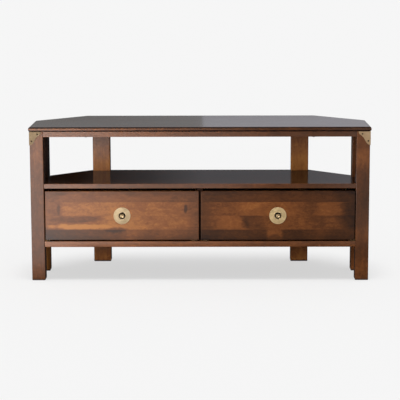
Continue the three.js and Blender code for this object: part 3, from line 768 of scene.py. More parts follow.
# Past the crown, the ball's edge fades into painted shade, which is darkest here.
CROWN_END = 8.8 * MM  # where its edge is all grime


def turning_marks(tree, place):
    """Rings, on a field that falls off towards the rim."""
    radius = pull_radius(tree, place)
    rings = calc(tree, "SINE", calc(tree, "MULTIPLY", radius, 2 * math.pi / RING_SPACING))
    return calc(tree, "MULTIPLY_ADD", radius, -FIELD_SLOPE / (MARK_STRENGTH * MARK_DEPTH), rings)


def pull_wear_and_shade(tree, place):
    """Grime and painted shade in the hollow behind the drawer's face, and rubbed metal on the lip and the
    rim.
    """
    depth = put(tree, "ShaderNodeSeparateXYZ", [place]).outputs[1]
    change = fade(tree, depth, PULL_FACE - MM, PULL_FACE + MM, 0.0, GRIME_AND_SHADE_DEPTH)
    radius = pull_radius(tree, place)
    for middle, half_width in RUBBED_RINGS:
        near = calc(tree, "COMPARE", radius, middle, half_width)
        change = calc(tree, "MULTIPLY_ADD", near, RUBBED, change)
    return change


def knob_wear_and_edge_shade(tree, place):
    """Wear of the pulls, and painted shade that darkens the ball round its bright crown."""
    edge = fade(tree, pull_radius(tree, place), CROWN_RADIUS, CROWN_END, 0.0, GRIME_AND_SHADE_DEPTH)
    return calc(tree, "ADD", pull_wear_and_shade(tree, place), edge)


print("distance of the drawers' faces in front of the middle:", round(-PULL_FACE, 4), "m")

# %% [markdown]
# ## Brass
#
# One brass would do for the whole cabinet. But the softbox stands at the left, and in the photograph
# the brass isn't that much brighter there. So each side has its own two shades, darker ones at the
# left: painted shade at the left and painted light at the right even out the softbox's light. The
# knobs, which look alike, share a third brass that is polished smoother.

# %% Brass
BRASS_SHINE = 0.35
TURNED = {"left": ("a28a67", "c3ac88"), "right": ("b99e70", "dec292")}
SHEET = {"left": ("6a563d", "776347"), "right": ("ae8e68", "c3a47e")}
turned_brass = {}
sheet_brass = {}
for hand in HANDS:
    turned_brass[hand] = metal(
        hand + "_turned_brass", *TURNED[hand], rough=0.48, scale=60,
        marks=turning_marks, shine=BRASS_SHINE, wear_and_shade=pull_wear_and_shade)
    sheet_brass[hand] = metal(
        hand + "_sheet_brass", *SHEET[hand], rough=0.48, scale=45, shine=BRASS_SHINE)
knob_brass = metal("knob_brass", "ab916a", "cfb58d", rough=0.12, scale=60, shine=0.6, wear_and_shade=knob_wear_and_edge_shade)
print("brasses:", [m.name for m in bpy.data.materials if m.name.endswith("brass")])

# %% [markdown]
# ## Hand tools
#
# Every new piece starts from a primitive and is shaped in edit mode, as by hand. An operator acts on
# all that is selected, and after loading, that is the whole cabinet. So each tool first makes one
# piece the only selected one, and picks the edges to work on by where they lie. A block is tried
# out at once, and its edges are rounded in the next step.

# %% Selecting and adding
def clear_selection():
    if bpy.context.object and bpy.context.object.mode != "OBJECT":
        bpy.ops.object.mode_set(mode="OBJECT")
    bpy.ops.object.select_all(action="DESELECT")


def take(piece):
    clear_selection()
    piece.select_set(True)
    bpy.context.view_layer.objects.active = piece


def block(name, low, high):
    """A cube, placed and sized to fill the box between two corners."""
    clear_selection()
    bpy.ops.mesh.primitive_cube_add(size=1, location=(Vector(low) + Vector(high)) / 2)
    piece = bpy.context.object
    piece.name = name
    piece.scale = Vector(high) - Vector(low)
    bpy.ops.object.transform_apply(location=True, rotation=True, scale=True)
    return piece


def pick_edges(piece, wanted):
    """Selects the edges whose two ends pass a test, and leaves the piece in edit mode."""
    take(piece)
    bpy.ops.object.mode_set(mode="EDIT")
    bpy.ops.mesh.select_mode(type="EDGE")
    bpy.ops.mesh.select_all(action="DESELECT")
    bpy.ops.object.mode_set(mode="OBJECT")
    points = piece.data.vertices
    for edge in piece.data.edges:
        first, second = edge.vertices
        edge.select = wanted(points[first].co, points[second].co)
    bpy.ops.object.mode_set(mode="EDIT")


trial = block("trial", (0, 0, 0), (10 * MM, 20 * MM, 30 * MM))
print("edges of a block:", len(trial.data.edges))

# %% [markdown]
# Two tools shape a block: one rounds its edges, and one cuts it off in a plane. A Bevel modifier
# could round edges too, but it picks them by their angle, and here each kind of edge has its own
# radius.

# %% Shaping
def ease(piece, radius, steps=3, wanted=lambda a, b: True):
    """Rounds edges: all of them, or those whose two ends pass a test."""
    pick_edges(piece, wanted)
    bpy.ops.mesh.bevel(offset=radius, segments=steps, affect="EDGES")
    bpy.ops.object.mode_set(mode="OBJECT")


def cut_off(piece, place, normal):
    """Takes off what lies beyond a plane, and closes the cut."""
    take(piece)
    bpy.ops.object.mode_set(mode="EDIT")
    bpy.ops.mesh.select_all(action="SELECT")
    bpy.ops.mesh.bisect(plane_co=place, plane_no=normal, clear_outer=True, use_fill=True)
    bpy.ops.object.mode_set(mode="OBJECT")


ease(trial, MM)
print("faces of a block with rounded edges:", len(trial.data.polygons))
bpy.data.objects.remove(trial)

# %% [markdown]
# Three tools finish a piece. Hollows and slots are cut with a Boolean modifier, which is applied
# at once, so that the next tool works on real faces. Smooth shading would make a flat board look
# swollen near a rounded edge. Weighted normals keep the broad faces flat. The last tool hands the
# finished piece over: it rides on the same body as its imported piece, replaces that one, and gets
# its finish.

# %% Finishing tools
def cut_out(piece, tool):
    """Cuts a tool out of a piece. The tool is used up."""
    take(piece)
    step = piece.modifiers.new("cut", "BOOLEAN")
    step.operation = "DIFFERENCE"
    step.object = tool
    step.solver = "EXACT"
    bpy.ops.object.modifier_apply(modifier=step.name)
    bpy.data.objects.remove(tool)


def soften(piece, angle=40):
    """Smooth shading over the rounded edges that leaves the broad faces flat."""
    take(piece)
    bpy.ops.object.shade_smooth_by_angle(angle=math.radians(angle))
    even = piece.modifiers.new("even_faces", "WEIGHTED_NORMAL")
    even.keep_sharp = True
    bpy.ops.object.modifier_apply(modifier=even.name)


def settle(piece, node, finish):
    """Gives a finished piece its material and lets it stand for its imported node."""
    piece.data.materials.clear()
    piece.data.materials.append(finish)
    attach(piece, body_of[node])
    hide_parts(node)
    print(piece.name, "faces:", len(piece.data.polygons))


print("pieces that may be replaced:", len(slot_of))

# %% [markdown]
# ## Legs
#
# A leg is a square post with softened corners, and its foot is eased all round so that it doesn't
# splinter on the floor. Its upper end stays sharp, because it meets the underside of the top, so the
# long edges and the foot are rounded one after the other. Legs like these are glued up from short
# lengths, which shows as bands of tone. The bands are listed from the foot up. Some of them are
# painted light and shade: the last few millimetres of each foot are darkened as a painted contact
# shadow, the rear legs get painted shade a little above the foot and below the top, and the left
# side leg gets painted light at its foot and painted shade higher up, in the front leg's shadow.
# One leg, the left one at the side, hardly mirrors anything in the photograph, so its gloss is lower.

# %% Legs
LEG_EASING = 2.5 * MM
FOOT_EASING = 2.0 * MM
# The lowest millimetres of each leg are darkened as a painted contact shadow.
FOOT_SHADOW_TONE = 0.1
FOOT_SHADOW_SHARE = 0.006  # of a leg's length
DULL_LEGS = {"left_side_leg": 0.2}
LEG_TONES = {
    "left_front_leg": [(0, 0.42), (0.25, 0.43), (0.45, 0.46), (0.75, 0.48), (0.84, 0.55), (1, 0.55)],
    "right_front_leg": [
        (0, 0.52), (0.1, 0.60), (0.17, 0.44), (0.22, 0.44), (0.28, 0.57), (0.34, 0.57), (0.4, 0.44),
        (0.52, 0.33), (0.6, 0.38), (0.72, 0.46), (0.8, 0.70), (0.86, 0.70), (0.9, 0.56), (1, 0.66),
    ],
    # Painted light at the foot, and painted shade above, where this leg stands in the front leg's shadow.
    "left_side_leg": [(0, 1.0), (0.28, 0.95), (0.6, 0.0), (1, 0.0)],
    "right_side_leg": [(0, 0.64), (0.28, 0.62), (0.5, 0.45), (1, 0.42)],
    # In both rear legs, the dip a little above the foot and the darker upper end are painted shade.
    "left_rear_leg": [
        (0, 0.80), (0.04, 0.78), (0.11, 0.68), (0.25, 0.76), (0.6, 0.76), (0.68, 0.86), (0.8, 0.80),
        (0.87, 0.64), (1, 0.60),
    ],
    "right_rear_leg": [
        (0, 0.92), (0.04, 0.86), (0.11, 0.72), (0.25, 0.80), (0.65, 0.88), (0.74, 0.95), (0.8, 0.84),
        (0.87, 0.75), (1, 0.70),
    ],
}


def with_painted_foot_shadow(knots):
    """Tones of a leg, where the first one starts above the painted contact shadow at the foot."""
    return [(0, FOOT_SHADOW_TONE), (FOOT_SHADOW_SHARE, FOOT_SHADOW_TONE), (2 * FOOT_SHADOW_SHARE, knots[0][1]), *knots[1:]]


def make_leg(node, knots):
    low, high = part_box(node)
    leg = block("finished_" + node, low, high)
    ease(leg, LEG_EASING, 3, lambda a, b: abs(a.z - b.z) > LEG_EASING)
    ease(leg, FOOT_EASING, 2, lambda a, b: max(a.z, b.z) < low.z + MM)
    soften(leg)
    tone = listed(with_painted_foot_shadow(knots), low.z, high.z)
    gloss = DULL_LEGS.get(node, WOOD_GLOSS)
    settle(leg, node, stained(node + "_staves", "z", tone, gloss=gloss))


for node, knots in LEG_TONES.items():
    make_leg(node, knots)

# %% [markdown]
# ## Rails
#
# The rails under the top and under the drawers fill the spaces between the legs. In the packed
# model their boxes include the tenons inside the legs. Nobody sees a tenon, so a plain block is
# enough, and its length is taken from the legs' own faces. Much rounding would look like moulding on
# such a thin rail, so the edges are only broken. The bottom rail is the exception: in the photograph
# its edges are clearly round.

# %% Rails
CLEARANCE = 0.3 * MM  # between pieces that meet
RAIL_GLOSS = 0.75
RAIL_EASING = 0.8 * MM
ROUND_EASING = 2.2 * MM
# Partly the wood's own tone, and partly painted light and shade: both rails fall from left to right, which
# deepens the fall of the softbox's light towards the right.
FRONT_RAILS = {  # radius of the edges, and tones from left to right
    "front_apron": (RAIL_EASING, [(0, 0.62), (0.2, 0.60), (0.5, 0.51), (0.8, 0.43), (1, 0.42)]),
    "bottom_rail": (ROUND_EASING, [(0, 0.72), (0.3, 0.70), (0.7, 0.58), (1, 0.56)]),
}


def make_rail(node, axis, legs, grain, tone, easing=RAIL_EASING):
    """A rail between two legs that face each other along an axis."""
    low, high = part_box(node)
    _, first_leg_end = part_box(legs[0])
    second_leg_start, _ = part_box(legs[1])
    low[axis] = first_leg_end[axis] + CLEARANCE
    high[axis] = second_leg_start[axis] - CLEARANCE
    rail = block("finished_" + node, low, high)
    ease(rail, easing, 2, lambda a, b: abs(a[axis] - b[axis]) > easing)
    soften(rail)
    settle(rail, node, stained(node + "_staves", grain, tone, gloss=RAIL_GLOSS))


front_legs = ("left_front_leg", "right_front_leg")
rear_legs = ("left_rear_leg", "right_rear_leg")
for node, (easing, knots) in FRONT_RAILS.items():
    low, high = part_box(node)
    make_rail(node, 0, front_legs, "front", listed(knots, low.x, high.x), easing)
make_rail("back_apron", 0, rear_legs, "front", random_staves(0.55, 0.16, seed=5))
for hand in HANDS:
    side_legs = (hand + "_front_leg", hand + "_side_leg")
    make_rail(hand + "_side_apron", 1, side_legs, "y", random_staves(0.5, 0.16, seed=7))

# %% [markdown]
# ## Top
#
# The outline of the top could be drawn and extruded. Here it starts as one board, as in the
# workshop: two cuts take its rear corners off at 45 degrees, through the points where the straight
# sides end. Then the upper and lower rims are rounded with a radius of nearly half the thickness, so
# that the edge reads as a bullnose with a narrow flat in the middle.

# %% Top
TOP_SIDE = 220 * MM  # straight side, from the front edge to the corner cut
NOSE_RADIUS = 7.0 * MM


def make_top():
    low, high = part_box("top_panel")
    top = block("finished_top_panel", low, high)
    for side in HANDS.values():
        cut_off(top, (side * high.x, low.y + TOP_SIDE, 0), (side, 1, 0))
    ease(top, NOSE_RADIUS, 8, lambda a, b: abs(a.z - b.z) < MM)
    soften(top, 30)
    settle(top, "top_panel", top_wood)


make_top()

# %% [markdown]
# ## Shelf and diagonal rails
#
# These have outlines that fit round the legs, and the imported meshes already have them. They could be
# drawn again point by point, but then two outlines would have to be kept alike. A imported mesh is
# never changed, so a copy is taken. Its loose triangles are merged and dissolved into clean faces,
# and after that its edges can be eased like any other.

# %% Shelf and diagonal rails
TOUCHING = 0.001 * MM  # points this close are the same corner
FLAT_ANGLE = math.radians(1)  # below it, two triangles are one face


def copy_of(node):
    clear_selection()
    piece = bpy.data.objects.new("finished_" + node, frame["nodes"][node].data.copy())
    scene.collection.objects.link(piece)
    take(piece)
    bpy.ops.mesh.customdata_custom_splitnormals_clear()
    bpy.ops.object.mode_set(mode="EDIT")
    bpy.ops.mesh.select_all(action="SELECT")
    bpy.ops.mesh.remove_doubles(threshold=TOUCHING)
    bpy.ops.mesh.dissolve_limited(angle_limit=FLAT_ANGLE)
    bpy.ops.object.mode_set(mode="OBJECT")
    return piece


shelf = copy_of("shelf")
soften(shelf)
settle(shelf, "shelf", shelf_wood)
for hand in HANDS:
    rail = copy_of(hand + "_diagonal_apron")
    ease(rail, RAIL_EASING, 2)
    soften(rail)
    settle(rail, hand + "_diagonal_apron", corner_woods[hand])

# %% [markdown]
# ## Stain of the drawer fronts
#
# Each front is glued up from four rows of staves, and the stain has made a patchwork of them: pale
# orange in the middle, dark towards the edges. Chance would never give the same patchwork, so each
# row has its tones listed from left to right, as seen in the photograph. A few marks cross a stave:
# flames, a dark hump, a small knot. They are listed too, each with its middle across and down, its
# half width and half height, and its strength, which is negative for a dark one.

# %% Tones and marks of the drawer fronts
ROW_ENDS = (0.225, 0.50, 0.785)  # the seams between rows, as shares of the height from the upper edge
ROW_TONES = {
    "left": [
        [(0, 0.55), (0.25, 0.64), (0.6, 0.60), (0.85, 0.56), (1, 0.46)],
        [(0, 0.62), (0.09, 0.62), (0.12, 0.84), (0.5, 0.82), (0.62, 0.75), (0.88, 0.74),
         (0.91, 0.66), (1, 0.52)],
        [(0, 0.56), (0.1, 0.62), (0.2, 0.70), (0.35, 0.72), (0.42, 0.88), (0.62, 0.80),
         (0.74, 0.73), (0.92, 0.72), (0.95, 0.58), (1, 0.50)],
        [(0, 0.20), (0.2, 0.32), (0.46, 0.44), (0.55, 0.62), (0.7, 0.52), (0.78, 0.62), (1, 0.48)],
    ],
    # The right front's tones are partly the stain, and partly painted shade: they are set lower to deepen the
    # fall of the softbox's light towards the right.
    "right": [
        [(0, 0.37), (0.1, 0.33), (0.4, 0.44), (0.52, 0.38), (0.66, 0.42), (0.84, 0.44),
         (0.9, 0.24), (1, 0.16)],
        [(0, 0.36), (0.09, 0.55), (0.22, 0.60), (0.27, 0.73), (0.37, 0.73), (0.41, 0.66),
         (0.56, 0.68), (0.72, 0.47), (0.8, 0.70), (0.9, 0.65), (0.95, 0.22), (1, 0.14)],
        [(0, 0.36), (0.08, 0.57), (0.14, 0.70), (0.27, 0.70), (0.29, 0.47), (0.36, 0.45),
         (0.42, 0.57), (0.7, 0.57), (0.76, 0.48), (0.88, 0.55), (0.95, 0.20), (1, 0.12)],
        [(0, 0.18), (0.1, 0.16), (0.13, 0.27), (0.24, 0.33), (0.42, 0.31), (0.44, 0.66),
         (0.52, 0.64), (0.54, 0.30), (0.64, 0.28), (0.76, 0.46), (0.85, 0.30), (1, 0.28)],
    ],
}
STAIN_MARKS = {
    "left": [
        (0.22, 0.725, 0.25, 0.055, 0.36), (0.20, 0.575, 0.19, 0.070, -0.22),
        (0.46, 0.79, 0.07, 0.07, -0.32), (0.088, 0.38, 0.012, 0.12, -0.20),
        (0.914, 0.36, 0.013, 0.09, -0.38),
    ],
    "right": [
        (0.29, 0.66, 0.03, 0.10, -0.20), (0.655, 0.62, 0.02, 0.10, 0.12),
        (0.48, 0.96, 0.06, 0.08, -0.20),
    ],
}
print("marks of the stain:", sum(len(marks) for marks in STAIN_MARKS.values()))

# %% [markdown]
# The tone of a front starts from the first row, and each seam below switches to the next row. In one
# row at the right the joints lean, so its tones slide sideways with the height. A mark is an oval
# whose edge is broken up by noise, since a clean one would look like a sticker.

# %% Rows and marks
JUMP_OF_ROW = 0.31  # in a stave's pattern, so that no row continues the one above
ROW_LEANS = {"left": (0, 0, 0), "right": (0, 0.22, 0)}  # of the joints in the rows below the first
HALF_ROW = 0.14  # of the front's height
WOBBLE = 1.4  # of a mark's edge, as a share of its half width and height
WOBBLE_STRETCH = (30, 60, 1)
MARK_CORE = 0.5  # where a mark starts to fade, in the same shares
MARK_EDGE = 1.2  # where it ends


def oval(tree, across, down, mark, wobble):
    x, y, half_x, half_y, strength = mark
    beside = calc(tree, "DIVIDE", calc(tree, "SUBTRACT", across, x), half_x)
    below = calc(tree, "DIVIDE", calc(tree, "SUBTRACT", down, y), half_y)
    squares = [calc(tree, "MULTIPLY", side, side) for side in (beside, below)]
    reach = calc(tree, "ADD", calc(tree, "SQRT", calc(tree, "ADD", *squares)), wobble)
    return fade(tree, reach, MARK_CORE, MARK_EDGE, strength, 0.0)


def rows(tree, hand, across, down):
    """The tone of the row at a place, and the jump of its pattern."""
    value = tone_curve(tree, across, ROW_TONES[hand][0])
    jump = 0.0
    for seam, lean, knots in zip(ROW_ENDS, ROW_LEANS[hand], ROW_TONES[hand][1:]):
        below = calc(tree, "GREATER_THAN", down, seam)
        slide = calc(tree, "SUBTRACT", down, seam + HALF_ROW)
        place = calc(tree, "MULTIPLY_ADD", slide, -lean, across)
        step = calc(tree, "SUBTRACT", tone_curve(tree, place, knots), value)
        value = calc(tree, "MULTIPLY_ADD", below, step, value)
        jump = calc(tree, "MULTIPLY_ADD", below, JUMP_OF_ROW, jump)
    return value, jump


print("rows in a front:", len(ROW_ENDS) + 1)

# %% [markdown]
# Along the upper and lower rims of a front the stain is darker, so a shade fades in there. The right
# front shows much less haze than the left one, so it gets half the gloss.

# %% Woods of the drawer fronts
RIM_START = 0.36  # distances from the middle of the height, as shares of it
RIM_END = 0.5
RIM_SHADE = 0.14
FRONT_GLOSS = {"left": 0.5, "right": 0.25}


def front_tone(hand):
    low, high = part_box(hand + "_drawer_front")

    def tone(tree, along, up):
        across = share_of(tree, along, low.x, high.x)
        down = share_of(tree, up, high.z, low.z)
        value, jump = rows(tree, hand, across, down)
        place = put(tree, "ShaderNodeCombineXYZ", [along, up, 0.0]).outputs[0]
        cloud = noise(tree, stretch(tree, place, WOBBLE_STRETCH), 1.0, detail=3.0)
        wobble = calc(tree, "MULTIPLY", calc(tree, "SUBTRACT", cloud, 0.5), WOBBLE)
        for mark in STAIN_MARKS[hand]:
            value = calc(tree, "ADD", value, oval(tree, across, down, mark, wobble))
        rim = calc(tree, "ABSOLUTE", calc(tree, "SUBTRACT", down, 0.5))
        shade = fade(tree, rim, RIM_START, RIM_END, 0.0, -RIM_SHADE)
        return calc(tree, "ADD", value, shade), jump

    return tone


front_woods = {}
for hand, gloss in FRONT_GLOSS.items():
    front_woods[hand] = stained(hand + "_front_staves", "front", front_tone(hand), gloss=gloss)
    print(front_woods[hand].name, "nodes:", len(front_woods[hand].node_tree.nodes))

# %% [markdown]
# ## Drawer fronts
#
# The front itself is a block with its edges rounded. The hollow for the brass cup and the hole for
# the knob's screw are cut out with cylinders, as a drill does it on a real bench, and the slots that
# hold the drawer's sides and bottom are cut out with blocks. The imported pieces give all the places.

# %% Drawer fronts
FRONT_EASING = 2.4 * MM
CUP_BORE_RADIUS = 13.5 * MM  # the hollow behind the pull
CUP_BORE_DEPTH = 7.5 * MM
SCREW_BORE = 2.3 * MM


def face_point(hand):
    """Where a pull's axis meets the face of its drawer front."""
    low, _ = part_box(hand + "_drawer_front")
    return Vector((HANDS[hand] * PULL.x, low.y, PULL.z))


def bar(radius, length, middle, sides=48):
    """A round bar along Y."""
    clear_selection()
    turn = (math.pi / 2, 0, 0)
    bpy.ops.mesh.primitive_cylinder_add(
        vertices=sides, radius=radius, depth=length, location=middle, rotation=turn)
    tool = bpy.context.object
    bpy.ops.object.transform_apply(location=True, rotation=True, scale=True)
    return tool


def make_front(hand):
    node = hand + "_drawer_front"
    low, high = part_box(node)
    front = block("finished_" + node, low, high)
    ease(front, FRONT_EASING, 3)
    pull = face_point(hand)
    cut_out(front, bar(CUP_BORE_RADIUS, 2 * CUP_BORE_DEPTH, pull))
    cut_out(front, bar(SCREW_BORE, 3 * (high.y - low.y), pull, 16))
    gap = Vector((CLEARANCE, CLEARANCE, CLEARANCE))
    for part in ("outer_side", "inner_side", "bottom"):
        slot_low, slot_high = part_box(f"{hand}_drawer_{part}")
        cut_out(front, block("slot", slot_low - gap, slot_high + gap))
    soften(front)
    settle(front, node, front_woods[hand])


for hand in HANDS:
    make_front(hand)

# %% [markdown]
# ## Drawer boxes
#
# The sides and the back of a drawer are thin boards with rounded upper edges, which is what a hand
# feels first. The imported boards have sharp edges, so they are made again from blocks. The groove
# that holds the bottom is cut with a block of the bottom's own size, a little longer, so that it
# runs out at both ends.

# %% Drawer boxes
BOX_EASING = 1.5 * MM
GROOVE_RUN = 4 * MM  # past each end of the bottom


def make_box(hand):
    bottom_low, bottom_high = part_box(hand + "_drawer_bottom")
    gap = Vector((CLEARANCE, GROOVE_RUN, CLEARANCE))
    for part, grain in (("outer_side", "y"), ("inner_side", "y"), ("back", "front")):
        node = f"{hand}_drawer_{part}"
        low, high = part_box(node)
        board = block("finished_" + node, low, high)
        ease(board, BOX_EASING, 3, lambda a, b: min(a.z, b.z) > high.z - MM)
        if part != "back":
            cut_out(board, block("groove", bottom_low - gap, bottom_high + gap))
        soften(board)
        settle(board, node, plain_woods[grain])


for hand in HANDS:
    make_box(hand)

# %% [markdown]
# ## Turning
#
# A plate and a knob are both turned shapes, as from a lathe. The spin operator would do, but it
# leaves a seam and a pole to close. Here a ring of points is drawn out of a circle and carried along
# the profile: at each step the last ring is extruded and scaled to its next radius. Profiles are
# lists of radius and reach, where reach is measured forwards from the drawer's face.

# %% Turning
MERGED = 0.005 * MM  # points this close become one, which also closes a tip
TIP = 0.02 * MM  # radius of a tip before it is merged


def turned(name, profile, centre, sides=64):
    """A closed shape turned about a line along Y. A profile may end on the line or on its start."""
    clear_selection()
    radius, reach = profile[0]
    ahead = Vector((0, -1, 0))
    start = Vector(centre) + ahead * reach
    bpy.ops.mesh.primitive_circle_add(
        vertices=sides, radius=radius, location=start, rotation=(math.pi / 2, 0, 0))
    piece = bpy.context.object
    piece.name = name
    bpy.ops.object.transform_apply(location=True, rotation=True, scale=True)
    bpy.ops.object.mode_set(mode="EDIT")
    bpy.ops.mesh.select_all(action="SELECT")
    if profile[-1] != profile[0]:
        bpy.ops.mesh.edge_face_add()
    for next_radius, next_reach in profile[1:]:
        step = ahead * (next_reach - reach)
        bpy.ops.mesh.extrude_region_move(TRANSFORM_OT_translate={"value": step})
        ratio = next_radius / radius
        middle = Vector(centre) + ahead * next_reach
        bpy.ops.transform.resize(value=(ratio, 1, ratio), center_override=middle)
        radius, reach = next_radius, next_reach
    bpy.ops.mesh.select_all(action="SELECT")
    bpy.ops.mesh.remove_doubles(threshold=MERGED)
    bpy.ops.mesh.normals_make_consistent(inside=False)
    bpy.ops.object.mode_set(mode="OBJECT")
    return piece


def arc(centre, radius, start, end, steps):
    """Points of an arc in a profile; its centre is a radius and a reach, and angles are in degrees."""
    turns = [math.radians(start + (end - start) * i / steps) for i in range(steps + 1)]
    return [(centre[0] + radius * math.cos(t), centre[1] + radius * math.sin(t)) for t in turns]


print("a quarter turn:", [(round(x, 2), round(y, 2)) for x, y in arc((0, 0), 1, 0, 90, 3)])

# %% [markdown]
# ## Plates and knobs
#
# The plate is pressed from sheet brass: a flat field between a rolled bead at the rim and a rounded
# lip, inside which the cup goes down into the drawer front. Two fine lines are cut into the field.
# They could be left to the bump, but a modelled groove still looks right from close by.

# %% Profile of a plate
PLATE_RADIUS = 30 * MM
PLATE_SHEET = 1.2 * MM
PLATE_BACK = 0.3 * MM
BEAD = 1.15 * MM  # radius of the rolled bead, and of the lip round the cup
BEAD_SINK = 0.25 * BEAD  # how far their middles lie below the field
CUP_RADIUS = 12 * MM
CUP_FLOOR_RADIUS = 9.5 * MM
CUP_DEPTH = 6 * MM
GROOVES = (24.5 * MM, 16.5 * MM)  # radii of two fine lines in the plate's field
GROOVE_DEPTH = 0.25 * MM


def plate_profile():
    field = PLATE_BACK + PLATE_SHEET
    lip = arc((CUP_RADIUS + BEAD, field - BEAD_SINK), BEAD, 0, 180, 8)
    bead = arc((PLATE_RADIUS - BEAD, field - BEAD_SINK), BEAD, 0, 180, 8)
    lines = []
    for radius in GROOVES:
        lines += [(radius + 2 * GROOVE_DEPTH, field), (radius, field - GROOVE_DEPTH)]
        lines += [(radius - 2 * GROOVE_DEPTH, field)]
    back = [(SCREW_BORE, -CUP_DEPTH - PLATE_SHEET), (CUP_FLOOR_RADIUS, -CUP_DEPTH - PLATE_SHEET)]
    back += [(CUP_RADIUS + PLATE_SHEET, PLATE_BACK), (PLATE_RADIUS, PLATE_BACK)]
    floor = [(CUP_FLOOR_RADIUS, -CUP_DEPTH + BEAD), (CUP_FLOOR_RADIUS - BEAD, -CUP_DEPTH)]
    return [*back, *bead, *lines, *lip, *floor, (SCREW_BORE, -CUP_DEPTH), back[0]]


print("points in the profile:", len(plate_profile()))

# %% [markdown]
# The ball knob stands in the cup on a short neck, so only its front half looks out. A sphere would
# do for the ball, but ball, neck and foot are one piece of brass, so they are turned as one. The
# profile starts at the edge of the foot, whose underside is closed by a single face, and ends at the
# crown of the ball.

# %% Plates and knobs
BALL_RADIUS = 8.8 * MM
BALL_CENTRE = 6 * MM
NECK_RADIUS = 4.2 * MM
FOOT_RADIUS = 5.5 * MM  # of the knob's foot on the floor of the cup
FOOT_STEP = 0.7 * MM


def knob_profile():
    seat = -CUP_DEPTH + CLEARANCE
    start = -math.degrees(math.acos(NECK_RADIUS / BALL_RADIUS))
    ball = arc((0, BALL_CENTRE), BALL_RADIUS, start, 88, 18)
    foot = [(FOOT_RADIUS, seat), (FOOT_RADIUS, seat + FOOT_STEP), (NECK_RADIUS, seat + 2 * FOOT_STEP)]
    return [*foot, *ball, (TIP, BALL_CENTRE + BALL_RADIUS)]


for hand in HANDS:
    plate = turned(f"finished_{hand}_knob_plate", plate_profile(), face_point(hand), 96)
    soften(plate, 50)
    settle(plate, hand + "_knob_plate", turned_brass[hand])
    knob = turned(f"finished_{hand}_knob", knob_profile(), face_point(hand))
    soften(knob, 50)
    settle(knob, hand + "_knob", knob_brass)

# %% [markdown]
# ## Cards for the knobs
#
# Each ball has a cream spot right of its middle. It is the mirror image of something bright that
# lies low on that side. A card there would show in the legs and drawer fronts as well, so each knob
# gets a small card of its own on the floor, and light linking keeps it from everything else.

# %% Cards for the knobs
KNOB_CARD_LOW = Vector((0.08, -0.85, 6 * MM))  # its corners, for a knob in the middle of the cabinet
KNOB_CARD_HIGH = Vector((0.75, -0.23, 6 * MM))
KNOB_CARD_LEVELS = [(0.0, 5.0), (1.0, 5.0)]

for hand in HANDS:
    shift = Vector((face_point(hand).x, 0, 0))
    card = add_card(hand + "_knob_card", KNOB_CARD_LOW + shift, KNOB_CARD_HIGH + shift, KNOB_CARD_LEVELS)
    shown_in = bpy.data.collections.new(hand + "_knob_only")
    shown_in.objects.link(bpy.data.objects[f"finished_{hand}_knob"])
    card.light_linking.receiver_collection = shown_in

# %% [markdown]
# ## Brass corners
#
# Each front leg wears a folded brass corner under the top. Its wings end in an ogee: hollow near the
# top, full below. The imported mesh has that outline, so a copy of it is taken. Only its sharp edges
# get a fine bevel, which catches the light as a filed edge does. The many small edges of the ogee
# stay as they are, since rounding them would only make the sheet look soft.

# %% Brass corners
SHEET_EASING = 0.3 * MM
SHARP = math.radians(50)


def bevel_sharp_edges(piece, radius):
    pick_edges(piece, lambda a, b: False)
    bpy.ops.mesh.edges_select_sharp(sharpness=SHARP)
    bpy.ops.mesh.bevel(offset=radius, segments=1, affect="EDGES")
    bpy.ops.object.mode_set(mode="OBJECT")


for hand in HANDS:
    bracket = copy_of(hand + "_corner_bracket")
    bevel_sharp_edges(bracket, SHEET_EASING)
    soften(bracket, 30)
    settle(bracket, hand + "_corner_bracket", sheet_brass[hand])

# %% [markdown]
# ## Nails and screws
#
# The small fasteners repeat, so each kind is modelled once at the origin, with its axis along Y and
# its head facing forwards, and copied to its places later. Both are turned like the knobs: a nail is
# a dome with a thin rim on a pin, and a screw has a higher head. Its cross is cut by two small
# blocks, the second one turned by a quarter.

# %% Patterns of the nails and screws
NAIL = {"radius": 2.6 * MM, "height": 1.2 * MM, "pin_radius": 0.8 * MM, "pin_length": 6.5 * MM}
SCREW = {"radius": 4.0 * MM, "height": 2.4 * MM, "pin_radius": 2.0 * MM, "pin_length": 20 * MM}
RIM_SHARE = 0.2  # of the head's height, below the dome
POINT_SHARE = 0.4  # of the pin's radius, at its end
CROSS_WIDTH = 0.9 * MM
CROSS_REACH = 0.55  # of the head's radius
CROSS_FLOOR = 0.45  # of its height, up from its underside


def domed(radius, height, pin_radius, pin_length):
    """Profile of a fastener: pin, underside of the head, rim and dome."""
    dome = arc((0, 0), 1, 4, 86, 7)
    cap = [(radius * across, height * (RIM_SHARE + (1 - RIM_SHARE) * up)) for across, up in dome]
    point = (POINT_SHARE * pin_radius, -pin_length)
    pin = [(pin_radius, -pin_length + pin_radius), (pin_radius, 0)]
    return [point, *pin, (radius, 0), *cap, (TIP, height)]


def cut_cross(head, radius, height):
    reach = CROSS_REACH * radius
    for turn in (0, math.pi / 2):
        slot = block("cross", (-reach, -2 * height, -CROSS_WIDTH / 2),
                     (reach, -CROSS_FLOOR * height, CROSS_WIDTH / 2))
        slot.rotation_euler = (0, turn, 0)
        take(slot)
        bpy.ops.object.transform_apply(location=True, rotation=True, scale=True)
        cut_out(head, slot)


nail_pattern = turned("nail_pattern", domed(**NAIL), (0, 0, 0), 24)
screw_pattern = turned("screw_pattern", domed(**SCREW), (0, 0, 0), 32)
cut_cross(screw_pattern, SCREW["radius"], SCREW["height"])
print("faces:", len(nail_pattern.data.polygons), "in a nail,", len(screw_pattern.data.polygons), "in a screw")

# %% [markdown]
# A copy is turned so that its head looks the right way, moved to its place, and both are applied to
# its mesh, because a finished piece keeps its place in its points. The place comes from the packed
# fastener's box, whose outer end is the top of the head.

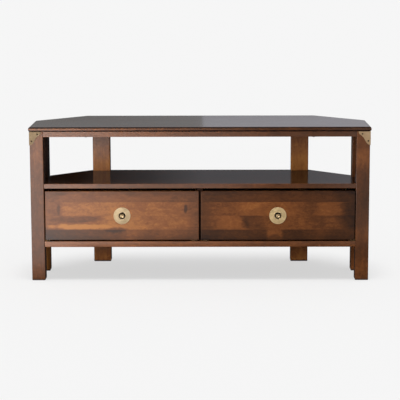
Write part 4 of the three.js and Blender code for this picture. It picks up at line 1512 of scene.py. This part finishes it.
# %% Nails and screws
HEAD_HEIGHTS = {"brass": NAIL["height"], "steel": SCREW["height"]}
SCREWS = {"knob_screw": (0, 1, 0), "front_top_screw": (0, 0, -1), "back_top_screw": (0, 0, -1)}


def seat_of(node, outwards):
    """Where the head of a packed fastener begins: the middle of its box, on the head's underside."""
    low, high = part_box(node)
    middle = (low + high) / 2
    direction = Vector(outwards)
    half = abs((high - low).dot(direction)) / 2
    return middle + direction * (half - HEAD_HEIGHTS[slot_of[node]])


def drive(pattern, node, outwards, finish):
    """A copy of a fastener that stands for a packed one and looks in a direction."""
    piece = bpy.data.objects.new("finished_" + node, pattern.data.copy())
    scene.collection.objects.link(piece)
    turn = Vector((0, -1, 0)).rotation_difference(Vector(outwards)).to_matrix().to_4x4()
    piece.matrix_world = Matrix.Translation(seat_of(node, outwards)) @ turn
    take(piece)
    bpy.ops.object.transform_apply(location=True, rotation=True, scale=True)
    soften(piece, 50)
    settle(piece, node, finish)


for hand, side in HANDS.items():
    for end in ("upper", "lower"):
        drive(nail_pattern, f"{hand}_nail_front_{end}", (0, -1, 0), nail_brass)
        drive(nail_pattern, f"{hand}_nail_side_{end}", (side, 0, 0), nail_brass)
    for kind, outwards in SCREWS.items():
        drive(screw_pattern, f"{hand}_{kind}", outwards, zinc)
for pattern in (nail_pattern, screw_pattern):
    bpy.data.objects.remove(pattern)

# %% [markdown]
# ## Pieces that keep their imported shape
#
# Panels, runners, the divider and the bottoms are plain boards whose edges are hidden in grooves or
# behind other pieces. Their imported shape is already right, so they only get the finish that belongs
# to their grain.

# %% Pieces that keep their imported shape
KEPT = {
    "bottom_panel": plain_woods["x"],
    "back_panel": front_panel_wood,
    "centre_divider": divider_wood,
}
for hand in HANDS:
    KEPT[hand + "_side_panel"] = side_panel_wood
    KEPT[hand + "_diagonal_panel"] = corner_woods[hand]
    KEPT[hand + "_outer_runner"] = plain_woods["y"]
    KEPT[hand + "_inner_runner"] = plain_woods["y"]
    KEPT[hand + "_drawer_bottom"] = plain_woods["x"]
for node, finish in KEPT.items():
    board = frame["nodes"][node]
    board.data.materials.clear()
    board.data.materials.append(finish)
print("kept:", len(KEPT), "of", len(frame["nodes"]))

# %% [markdown]
# ## Size of the finished cabinet
#
# The finished cabinet has to fill the same box as the imported one. Both boxes are measured, and
# the last line prints the largest difference between them.

# %% Size of the finished cabinet
clear_selection()
low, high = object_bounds()
differences = [abs(a - b) for a, b in zip((*low, *high), (*cad_low, *cad_high))]
print("largest difference in mm:", round(max(differences) / MM, 3))
